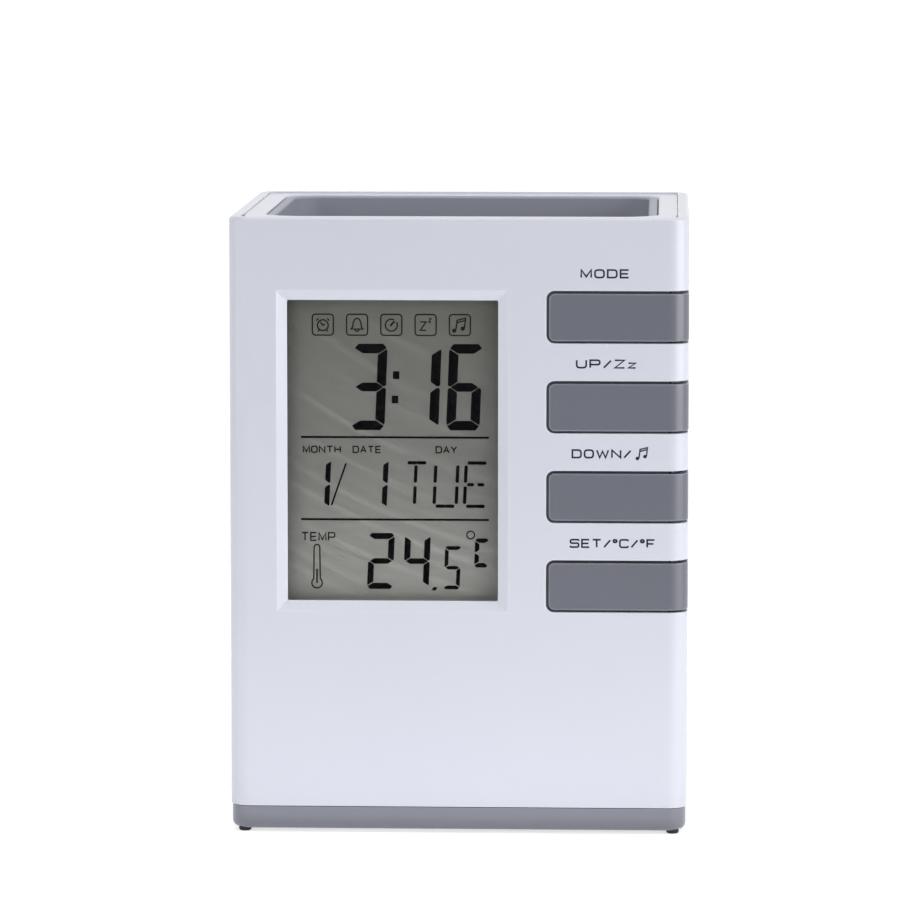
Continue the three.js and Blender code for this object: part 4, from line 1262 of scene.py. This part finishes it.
tree.links.new(colour_mix(tree, faces_front_or_back(tree), laminate, padded),
               shader.inputs["Base Color"])
tree.links.new(math_node(tree, "MULTIPLY", pads, 0.9), shader.inputs["Metallic"])
uneven_value(tree, shader, "Roughness", grain, 0.15, 0.32)
raised = math_node(tree, "ADD", tracks.outputs["Fac"], pads)
add_bump(tree, shader, raised, 0.03 * mm)
refinish(board, "circuit_board")

# %% Ceramic of the sounder
bare_edge = 0.8 * mm
element_middle = middle_of("sounder_element")
electrode_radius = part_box("sounder_element")[1].x - element_middle.x - bare_edge
ceramic, tree, shader, grain = grained("silvered_ceramic", 3000, 160, 0.7, IOR=1.6)
place = object_place(tree)
across = math_node(tree, "SUBTRACT", place["X"], element_middle.x)
up = math_node(tree, "SUBTRACT", place["Z"], element_middle.z)
squares = math_node(tree, "ADD", math_node(tree, "MULTIPLY", across, across),
                    math_node(tree, "MULTIPLY", up, up))
silvered = math_node(tree, "LESS_THAN", squares, electrode_radius ** 2)
body_tone = patched(tree, grain, (196, 188, 164), (210, 203, 182))
silver_tone = patched(tree, grain, (196, 196, 198), (222, 222, 224))
tree.links.new(math_node(tree, "MULTIPLY", silvered, 0.85), shader.inputs["Metallic"])
dress(tree, shader, grain, colour_mix(tree, silvered, body_tone, silver_tone), 0.2, 0.35,
      0.012 * mm)
refinish(ceramic, "sounder_element")

# %% [markdown]
# ## Cells
# A small cell is a steel can with a nub, in a printed sleeve that is shrunk over both shoulders.
# Each is two spun profiles: the can, and the sleeve as a closed ring. They point opposite ways,
# so the sleeve's coloured band at the nub end is placed from the cell's own direction.

# %% Cells
nub_radius = 1.9 * mm
nub_length = 1 * mm
band_length = 12 * mm


def sleeve_print(name, nub_end, way):
    """The printed sleeve: a pale band at the nub end, a thin line, and a plain dark body."""
    material, tree, shader, grain = grained(name, 1500, 80, 0.4, IOR=1.5, Coat_Weight=1,
                                            Coat_Roughness=0.08)
    worn_and_highlit_edges = add_group(tree, wear_and_highlight_group, Amount=0.5)
    offset = math_node(tree, "SUBTRACT", nub_end, object_place(tree)["X"])
    depth = math_node(tree, "MULTIPLY", offset, way)
    band = math_node(tree, "LESS_THAN", depth, band_length)
    thin_line = math_node(tree, "COMPARE", depth, band_length + 1.2 * mm, 0.4 * mm)
    dark = patched(tree, grain, (28, 56, 88), (33, 64, 98))
    lined = colour_mix(tree, thin_line, dark, (204, 206, 210))
    banded = colour_mix(tree, band, lined, (198, 200, 204))
    scuffed = colour_mix(tree, worn_and_highlit_edges.outputs["Mask"], banded, (150, 156, 164))
    dress(tree, shader, grain, scuffed, 0.15, 0.25, 0.01 * mm)
    return material


for name, way in (("front", 1), ("rear", -1)):
    low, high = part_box("cell_" + name)
    y, z = (low.y + high.y) / 2, (low.z + high.z) / 2
    radius = (high.z - low.z) / 2
    nub_end = high.x if way > 0 else low.x
    length = high.x - low.x
    can_radius = radius - 0.9 * mm
    can_profile = [(0, 0), (nub_radius - 0.25 * mm, 0), (nub_radius, 0.25 * mm),
                   (nub_radius, nub_length + 0.1 * mm),
                   (nub_radius + 0.3 * mm, nub_length + 0.2 * mm),
                   (can_radius, nub_length + 0.2 * mm), (can_radius, length - 0.1 * mm),
                   (can_radius - 0.3 * mm, length), (0, length)]
    tube_profile = [(can_radius, nub_length), (radius - 0.45 * mm, nub_length),
                    (radius - 0.12 * mm, nub_length + 0.15 * mm), (radius, nub_length + 0.5 * mm),
                    (radius, length - 0.45 * mm), (radius - 0.12 * mm, length - 0.12 * mm),
                    (radius - 0.45 * mm, length), (can_radius, length)]
    places = [[(r, -way * d) for r, d in profile]
              for profile in (can_profile, tube_profile + tube_profile[:1])]
    inner_can = as_object("cell_can_" + name, turned(places[0], "x", y, z, nub_end, 48))
    sleeve = as_object("cell_sleeve_" + name, turned(places[1], "x", y, z, nub_end, 48))
    finished(inner_can, can, "contact_nickel", "housing", soften=0)
    finished(sleeve, sleeve_print("cell_print_" + name, nub_end, way), "cell_jacket", "housing",
             "cell_" + name, soften=0)

# %% [markdown]
# ## Display
# A reflective display is a stack: a clear lens, a front glass, the dark figures, and a grey
# reflector. The reflector is what gives its colour. That colour is painted paler towards the foot,
# as painted light from the table below, and darker towards the top, as painted shade. The clear
# sheets are thin, so a little alpha with a smooth coat is enough: a bending glass would only
# darken what lies behind it.

# %% Clear lens and display glass
clear, tree, shader, grain = grained("clear_window", 900, 60, 0.2, IOR=1.49, Coat_Weight=0.6,
                                     Coat_Roughness=0.03)
dusty = add_group(tree, dust_group, Amount=0.3)
tint = patched(tree, grain, (56, 58, 62), (70, 72, 76))
tree.links.new(tint, shader.inputs["Base Color"])
haze = math_node(tree, "MULTIPLY_ADD", grain.outputs["Patches"], 0.004, 0.002)
slant = tree.nodes.new("ShaderNodeLayerWeight")
steep = math_node(tree, "POWER", slant.outputs["Facing"], 5)
mirrored_share = math_node(tree, "MULTIPLY_ADD", steep, 0.6, haze)
film = math_node(tree, "ADD", mirrored_share, dusty.outputs["Mask"])
tree.links.new(film, shader.inputs["Alpha"])
uneven_value(tree, shader, "Roughness", grain, 0.04, 0.04)

lens = as_object("clear_lens", slab(
    "y", (lens_low.x, lens_low.z), (lens_high.x, lens_high.z), lens_low.y, lens_high.y,
    (window_radius,) * 4))
finished(lens, clear, "clear_window", "housing", "display_lens", soften=0.12 * mm)

glass, tree, shader, grain = grained("display_glass", 700, 40, 0.1, IOR=1.5)
tint = patched(tree, grain, (60, 64, 58), (72, 76, 70))
tree.links.new(tint, shader.inputs["Base Color"])
uneven_value(tree, shader, "Alpha", grain, 0.004, 0.002)
uneven_value(tree, shader, "Roughness", grain, 0.05, 0.05)
refinish(glass, "display_front_glass")

# %% Reflector behind the figures, with painted light and shade
reflector, tree, shader, grain = grained("display_reflector", 5200, 55, 0.4, IOR=1.45,
                                         Specular_IOR_Level=0.35)
# The ramp paints the reflector paler at the foot, as painted table light, and darker at the top, as
# painted shade.
rise = tree.nodes.new("ShaderNodeMapRange")
rise.inputs["From Min"].default_value = window_low.z
rise.inputs["From Max"].default_value = window_high.z
tree.links.new(object_place(tree)["Z"], rise.inputs["Value"])
painted_light_ramp = tree.nodes.new("ShaderNodeValToRGB")
tree.links.new(rise.outputs["Result"], painted_light_ramp.inputs["Fac"])
stops = painted_light_ramp.color_ramp.elements
stops.new(0.45)
for stop, colour in zip(stops, ((221, 222, 216), (179, 180, 175), (156, 157, 150))):
    stop.color = linear(*colour)
flecked = colour_mix(tree, math_node(tree, "MULTIPLY", grain.outputs["Patches"], 0.22),
                     painted_light_ramp.outputs["Color"], (146, 152, 140))
dress(tree, shader, grain, flecked, 0.15, 0.5, 0.01 * mm)
refinish(reflector, "display_rear_glass")

# %% [markdown]
# ## Figures and legends
# The figures are dark liquid crystal between the two glasses, and the legends are pad-printed
# ink on the panel. Both are thin films, so both are real meshes a few hundredths of a
# millimetre thick. A small alphabet of strokes gives the wide, even letters of such a legend,
# and the digits are drawn segment by segment, as on the glass.

# %% Drawing on an upright plane
film_depth = 0.02 * mm


def add_shape(bm, points, level):
    """A flat shape on the plane at y = level, drawn out to the film's thickness."""
    verts = [bm.verts.new((x, level, z)) for x, z in points]
    face = bm.faces.new(verts)
    draw_out(bm, [face], (0, film_depth, 0))


def leaned(points, low, lean):
    """Leans points to the right in proportion to their height."""
    return [(x + (z - low) * lean, z) for x, z in points]


def arc(centre, radius, start, end, steps=10):
    """Points along an arc, in degrees from the right."""
    return [(centre[0] + radius * cos(radians(start + (end - start) * step / steps)),
             centre[1] + radius * sin(radians(start + (end - start) * step / steps)))
            for step in range(steps + 1)]


def add_stroke(bm, points, thickness, level, closed=False):
    """A line of even thickness through points, as a flat ribbon with mitred corners."""
    path = [Vector(point) for point in points]
    count = len(path)
    sides = []
    for index, point in enumerate(path):
        before = path[index - 1] if closed or index > 0 else None
        after = path[(index + 1) % count] if closed or index + 1 < count else None
        ahead = [(b - a).normalized() for a, b in ((before, point), (point, after))
                 if a is not None and b is not None]
        normals = [Vector((-way.y, way.x)) for way in ahead]
        middle = sum(normals, Vector((0, 0))).normalized()
        reach = thickness / 2 / max(middle.dot(normals[0]), 0.5)
        sides.append([bm.verts.new((spot.x, level, spot.y))
                      for spot in (point + middle * reach, point - middle * reach)])
    pairs = list(zip(sides, sides[1:])) + ([(sides[-1], sides[0])] if closed else [])
    faces = [bm.faces.new((a[0], a[1], b[1], b[0])) for a, b in pairs]
    draw_out(bm, faces, (0, film_depth, 0))


# %% An alphabet of strokes
# Each stroke is a path in a box one wide and one high. A third number rounds that corner, and
# a path that ends in None is closed.
letter_strokes = {
    "A": [((0, 0), (0.5, 1), (1, 0)), ((0.2, 0.33), (0.8, 0.33))],
    "C": [((1, 0.8), (1, 1, 0.2), (0, 1, 0.3), (0, 0, 0.3), (1, 0, 0.2), (1, 0.2))],
    "D": [((0, 0), (0, 1), (1, 1, 0.35), (1, 0, 0.35), None)],
    "E": [((1, 1), (0, 1), (0, 0), (1, 0)), ((0, 0.5), (0.9, 0.5))],
    "F": [((1, 1), (0, 1), (0, 0)), ((0, 0.48), (0.85, 0.48))],
    "H": [((0, 0), (0, 1)), ((1, 0), (1, 1)), ((0, 0.5), (1, 0.5))],
    "M": [((0, 0), (0, 1), (0.5, 0.1), (1, 1), (1, 0))],
    "N": [((0, 0), (0, 1), (1, 0), (1, 1))],
    "O": [((0, 0, 0.35), (0, 1, 0.35), (1, 1, 0.35), (1, 0, 0.35), None)],
    "P": [((0, 0), (0, 1), (1, 1, 0.25), (1, 0.42, 0.25), (0, 0.42))],
    "S": [((1, 0.82), (1, 1, 0.18), (0, 1, 0.22), (0, 0.53, 0.2), (1, 0.53, 0.2), (1, 0, 0.22),
           (0, 0, 0.18), (0, 0.18))],
    "T": [((0, 1), (1, 1)), ((0.5, 1), (0.5, 0))],
    "U": [((0, 1), (0, 0, 0.35), (1, 0, 0.35), (1, 1))],
    "W": [((0, 1), (0.25, 0), (0.5, 0.85), (0.75, 0), (1, 1))],
    "Y": [((0, 1), (0.5, 0.5), (1, 1)), ((0.5, 0.5), (0.5, 0))],
    "Z": [((0, 1), (1, 1), (0, 0), (1, 0))],
    "z": [((0, 0.62), (1, 0.62), (0, 0), (1, 0))],
    "/": [((0, 0), (1, 0.95))],
    "\u00b0": [((0, 0.66, 0.25), (0, 1, 0.25), (1, 1, 0.25), (1, 0.66, 0.25), None)],
}
letter_widths = {"M": 1.1, "W": 1.35, "/": 0.75, "\u00b0": 0.36, "z": 0.75, "E": 0.9, "F": 0.9}


def rounded_path(points):
    """Replaces each corner that has a radius by five points of a curve."""
    path = []
    count = len(points)
    for index, (x, z, *radius) in enumerate(points):
        corner = Vector((x, z))
        if not radius:
            path.append(corner)
            continue
        neighbours = [Vector(near[:2]) for near in (points[index - 1], points[(index + 1) % count])]
        ends = [corner.lerp(near, min(radius[0] / (near - corner).length, 0.5))
                for near in neighbours]
        for step in range(5):
            share = step / 4
            path.append(ends[0].lerp(corner, share).lerp(corner.lerp(ends[1], share), share))
    return path


def add_words(bm, words, low, size, thickness, level, spacing=0.42):
    """Words in strokes, from a low left corner, to a total width and a cap height."""
    widths = [letter_widths.get(letter, 1) for letter in words]
    unit = (size[0] - thickness) / (sum(widths) + spacing * (len(words) - 1))
    tall = size[1] - thickness
    x = low[0] + thickness / 2
    for letter, width in zip(words, widths):
        for stroke in letter_strokes[letter]:
            closed = stroke[-1] is None
            path = rounded_path(stroke[:-1] if closed else stroke)
            places = [(x + p.x * width * unit, low[1] + thickness / 2 + p.y * tall) for p in path]
            add_stroke(bm, places, thickness, level, closed)
        x += (width + spacing) * unit


# %% Seven-segment digits
lit_segments = {"1": "bc", "2": "abged", "3": "abgcd", "4": "fgbc", "5": "afgcd", "6": "afgedc",
                "C": "afed"}


def segments(width, height, thick, gap):
    """The seven shapes of a digit, from its low left corner. A thin gap parts their mitres."""
    half = height / 2
    slope = 0.65
    mitre = gap * (1 + slope * slope) ** 0.5
    top_bar = [(0.08 * thick, height - 0.45 * thick), (0.45 * thick, height),
               (width - 0.45 * thick, height), (width - 0.08 * thick, height - 0.45 * thick),
               (width - 0.92 * thick, height - thick), (0.92 * thick, height - thick)]
    middle_bar = [(0.3 * thick, half), (thick, half + 0.46 * thick),
                  (width - thick, half + 0.46 * thick), (width - 0.3 * thick, half),
                  (width - thick, half - 0.46 * thick), (thick, half - 0.46 * thick)]
    top_cut = height - 0.45 * thick - mitre
    upper_left = [(0, half + 0.26 * thick), (0, height - 0.78 * thick), (0.08 * thick, top_cut),
                  (thick, top_cut - 0.92 * slope * thick),
                  (thick, half + 0.46 * thick + mitre), (0.35 * thick, half + gap),
                  (0.12 * thick, half + gap)]
    def flipped(points):
        return [(x, height - z) for x, z in points]
    def mirrored(points):
        return [(width - x, z) for x, z in points]
    return {"a": top_bar, "g": middle_bar, "d": flipped(top_bar), "f": upper_left,
            "e": flipped(upper_left), "b": mirrored(upper_left), "c": flipped(mirrored(upper_left))}


def add_digit(bm, digit, low, size, thick, level, lean=0.04, gap=0.16 * mm):
    """One digit whose cell has its low left corner at low."""
    shapes = segments(size[0], size[1], thick, gap)
    for letter in lit_segments[digit]:
        points = [(low[0] + x, low[1] + z) for x, z in shapes[letter]]
        add_shape(bm, leaned(points, low[1], lean), level)


# %% The figures
figure_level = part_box("display_rear_glass")[0].y - 1.5 * film_depth


def spot(x, z):
    """A place on the display, in millimetres from the window's low left corner."""
    return (window_low.x + x * mm, window_low.z + z * mm)


def size(width, height):
    """A width and a height in millimetres."""
    return (width * mm, height * mm)


figures = bmesh.new()
time_low, time_size, time_thick = 29.66, size(5.84, 15.1), 1.66 * mm
warmth_low, warmth_size, warmth_thick = 1.72, size(4.5, 9.85), 1.06 * mm
for digit, x, z, digit_size, thick in (
        ("3", 10.95, time_low, time_size, time_thick),
        ("1", 20.36, time_low, time_size, time_thick),
        ("6", 27.54, time_low, time_size, time_thick),
        ("2", 13.7, warmth_low, warmth_size, warmth_thick),
        ("4", 20.0, warmth_low, warmth_size, warmth_thick),
        ("5", 27.1, warmth_low, size(2.8, 7.6), 0.66 * mm),
        ("C", 32.45, 5.6, size(2.4, 5.1), 0.78 * mm)):
    add_digit(figures, digit, spot(x, z), digit_size, thick, figure_level)
for x, z in ((18.85, 39.3), (18.65, 35.04)):
    square = [spot(x + i * 0.56, z + j * 0.67) for i, j in ((-1, -1), (1, -1), (1, 1), (-1, 1))]
    add_shape(figures, square, figure_level)
rule_half = 0.18
for z in (28.4, 13.95):
    add_shape(figures, [spot(2.2, z - rule_half), spot(35.05, z - rule_half),
                        spot(35.05, z + rule_half), spot(2.2, z + rule_half)], figure_level)
point = [spot(25.0, 1.5), spot(25.75, 1.5), spot(26.05, 2.1), spot(25.3, 2.1)]
add_shape(figures, point, figure_level)


# %% Date row, in thin broken bars
def add_bar(bm, start, end, thick, level):
    """A straight bar with short pointed ends."""
    along = (Vector(end) - Vector(start)).normalized()
    side = Vector((-along.y, along.x)) * thick / 2
    tip = along * thick * 0.3
    a, b = Vector(start), Vector(end)
    add_shape(bm, [a, a + tip + side, b - tip + side, b, b - tip - side, a + tip - side], level)


date_low, date_high, date_lean = 16.35, 23.95, 0.045
date_thick = 0.58 * mm
date_half = (date_low + date_high) / 2


def date_spot(x, z):
    """A place on the date row, leaned with the row."""
    return spot(x + (z - date_low) * date_lean, z)


def add_date_bar(x0, z0, x1, z1, thick=date_thick):
    """A bar on the date row between two places in millimetres."""
    add_bar(figures, date_spot(x0, z0), date_spot(x1, z1), thick, figure_level)


break_half = 0.28
for x in (6.35, 16.4):
    add_digit(figures, "1", spot(x - 2.2, date_low - 0.7), size(2.95, date_high - date_low + 1.5),
              0.9 * mm, figure_level, date_lean, 0.22 * mm)
add_bar(figures, spot(7.5, 16.4), spot(10.1, 23.85), 0.3 * mm, figure_level)
for x in (22.0, 25.45, 29.3, 30.75):
    add_date_bar(x, date_low + 0.35, x, date_half - break_half)
    add_date_bar(x, date_half + break_half, x, date_high - 0.4)
for x, z in ((20.45, date_high), (30.95, date_high), (25.7, date_low), (31.0, date_low)):
    add_date_bar(x, z, x + 1.75, z)
    add_date_bar(x + 1.6, z, x + 3.35, z)
for x in (31.0, 32.8):
    add_date_bar(x, date_half, x + 1.3, date_half)

# %% Captions and signs on the display
captions = bmesh.new()
line = 0.24 * mm
for words, x, z, width, cap in (("MONTH", 2.5, 25.6, 6.7, 1.3), ("DATE", 11.2, 25.6, 5.05, 1.3),
                                ("DAY", 25.7, 25.6, 3.8, 1.3), ("TEMP", 2.2, 10.1, 6.0, 1.6)):
    add_words(captions, words, spot(x, z), size(width, cap), line, figure_level)

icon_first, icon_pitch, icon_height = 6.08, 5.97, 48.08
icon_half, icon_corner = 1.83, 0.55


def icon_frame(x):
    """A square outline with rounded corners."""
    inner = icon_half - icon_corner
    points = []
    for quarter, (i, j) in enumerate(((1, 1), (-1, 1), (-1, -1), (1, -1))):
        centre = spot(x + i * inner, icon_height + j * inner)
        points += arc(centre, icon_corner * mm, quarter * 90, quarter * 90 + 90, 5)
    add_stroke(captions, points, line, figure_level, closed=True)


def icon_stroke(x, points, closed=False, thick=line):
    """A stroke in an icon, in millimetres from its middle."""
    add_stroke(captions, [spot(x + i, icon_height + j) for i, j in points], thick,
               figure_level, closed)


def icon_arc(x, i, j, radius, start, end, closed=False):
    """A round stroke in an icon."""
    points = arc(spot(x + i, icon_height + j), radius * mm, start, end, 16)
    add_stroke(captions, points[:-1] if closed else points, line, figure_level, closed)


icon_places = [icon_first + index * icon_pitch for index in range(5)]
for x in icon_places:
    icon_frame(x)
alarm, bell, dial, sleep, tune = icon_places
icon_arc(alarm, 0, -0.1, 0.95, 0, 360, closed=True)
icon_stroke(alarm, ((-0.45, 0.45), (0, -0.1), (0.35, 0.1)))
for side in (-1, 1):
    icon_stroke(alarm, ((side * 1.15, 0.7), (side * 0.75, 1.1)))
    icon_stroke(alarm, ((side * 0.6, -0.85), (side * 0.85, -1.2)))
icon_stroke(bell, ((-1.05, -0.75), (-0.75, -0.35), (-0.65, 0.45), (-0.4, 0.95), (0, 1.15),
                   (0.4, 0.95), (0.65, 0.45), (0.75, -0.35), (1.05, -0.75)), closed=True)
icon_arc(bell, 0, -0.8, 0.33, 180, 360)
icon_arc(dial, 0, -0.05, 1.05, 60, 390)
icon_stroke(dial, ((-0.2, -0.2), (0.55, 0.65)), thick=0.34 * mm)
add_words(captions, "Z", spot(sleep - 1.05, icon_height - 1.05), size(1.25, 1.7), line,
          figure_level)
add_words(captions, "Z", spot(sleep + 0.45, icon_height + 0.4), size(0.6, 0.8), line * 0.8,
          figure_level)


def add_tune(bm, place, scale, thick, level):
    """Two joined notes, as wide as the scale."""
    def near(i, j):
        return (place[0] + i * scale, place[1] + j * scale)
    add_stroke(bm, [near(-0.32, -0.42), near(-0.22, 0.38), near(0.45, 0.55), near(0.36, -0.25)],
               thick, level)
    add_stroke(bm, [near(-0.22, 0.2), near(0.43, 0.37)], thick, level)
    for i, j in ((-0.46, -0.45), (0.22, -0.28)):
        add_shape(bm, arc(near(i, j), 0.17 * scale, 0, 330, 11), level)


add_tune(captions, spot(tune, icon_height), 2.2 * mm, line, figure_level)

thermometer_x = 4.95
tube_half, bulb_radius = 0.5, 0.92
tube = arc(spot(thermometer_x, 9.0), tube_half * mm, 0, 180, 8)
bulb = arc(spot(thermometer_x, 2.75), bulb_radius * mm, 128, 412, 18)
add_stroke(captions, tube + bulb, line, figure_level, closed=True)
add_stroke(captions, [spot(thermometer_x, 2.7), spot(thermometer_x, 5.2)], 0.3 * mm,
           figure_level)
add_stroke(captions, arc(spot(31.85, 11.3), 0.68 * mm, 0, 337, 15), 0.24 * mm, figure_level,
           closed=True)
print("figures:", len(figures.faces), "captions:", len(captions.faces))


# %% Inks
def ink(name, colour, shade, roughness, depth):
    """A thin dark film with a faint unevenness."""
    material, tree, shader, grain = grained(name, 3800, 220, depth, IOR=1.45,
                                            Specular_IOR_Level=0.04)
    dress(tree, shader, grain, patched(tree, grain, shade, colour), 0.15, roughness,
          0.004 * mm)
    return material


crystal_ink = ink("liquid_crystal", (12, 12, 14), (8, 8, 10), 0.4, 0.3)
caption_ink = ink("display_caption", (46, 47, 40), (37, 38, 32), 0.45, 0.3)
legend_ink = ink("legend_ink", (62, 64, 76), (52, 54, 66), 0.5, 0.6)
finished(as_object("display_figures", figures), crystal_ink, "display_glass", "housing", soften=0)
finished(as_object("display_captions", captions), caption_ink, "display_glass", "housing", soften=0)

# %% Legends over the keys
legend_level = front - 0.5 * film_depth
legend_rise = 2.65 * mm
legend_cap = 1.62 * mm
legend_thick = 0.31 * mm
legends = bmesh.new()
legend_boxes = {"mode": ("MODE", 21.15, 29.65), "up": ("UP/Zz", 20.4, 30.9),
                "down": ("DOWN/", 19.7, 30.1), "set": ("SET/\u00b0C/\u00b0F", 19.4, 34.3)}
for name, (words, x0, x1) in legend_boxes.items():
    base = key_band(name)["high"] + legend_rise
    add_words(legends, words, (x0 * mm, base), ((x1 - x0) * mm, legend_cap), legend_thick,
              legend_level)
add_tune(legends, (32.0 * mm, key_band("down")["high"] + legend_rise + 0.9 * mm), 1.9 * mm,
         0.24 * mm, legend_level)
finished(as_object("key_legends", legends), legend_ink, "key_grey", "housing", soften=0)

# %% [markdown]
# ## Floor
# The floor is white where it is seen and only dims where the housing keeps light from it, so
# the object stands on something. A plain emission would wipe that shadow out, so the floor's
# white is its own pale colour plus a little light for the camera alone, less near the object,
# where the panels light it anyway.

# %% Floor
floor_size = 8
bm = bmesh.new()
bmesh.ops.create_grid(bm, x_segments=8, y_segments=8, size=floor_size / 2)
floor = as_object("floor", bm)
floor_paint, tree, shader = new_material(
    "floor_paint", Base_Color=(0.9, 0.9, 0.9, 1), Emission_Color=(1, 1, 1, 1), Roughness=0.9)
away = tree.nodes.new("ShaderNodeVectorMath")
away.operation = "LENGTH"
tree.links.new(tree.nodes.new("ShaderNodeTexCoord").outputs["Object"], away.inputs[0])
far = tree.nodes.new("ShaderNodeMapRange")
for label, value in (("From Min", 0.1), ("From Max", 1.2), ("To Min", 0.66), ("To Max", 0.97)):
    far.inputs[label].default_value = value
tree.links.new(away.outputs["Value"], far.inputs["Value"])
lift = math_node(tree, "MULTIPLY", looked_at(tree), far.outputs["Result"])
tree.links.new(lift, shader.inputs["Emission Strength"])
floor.data.materials.append(floor_paint)
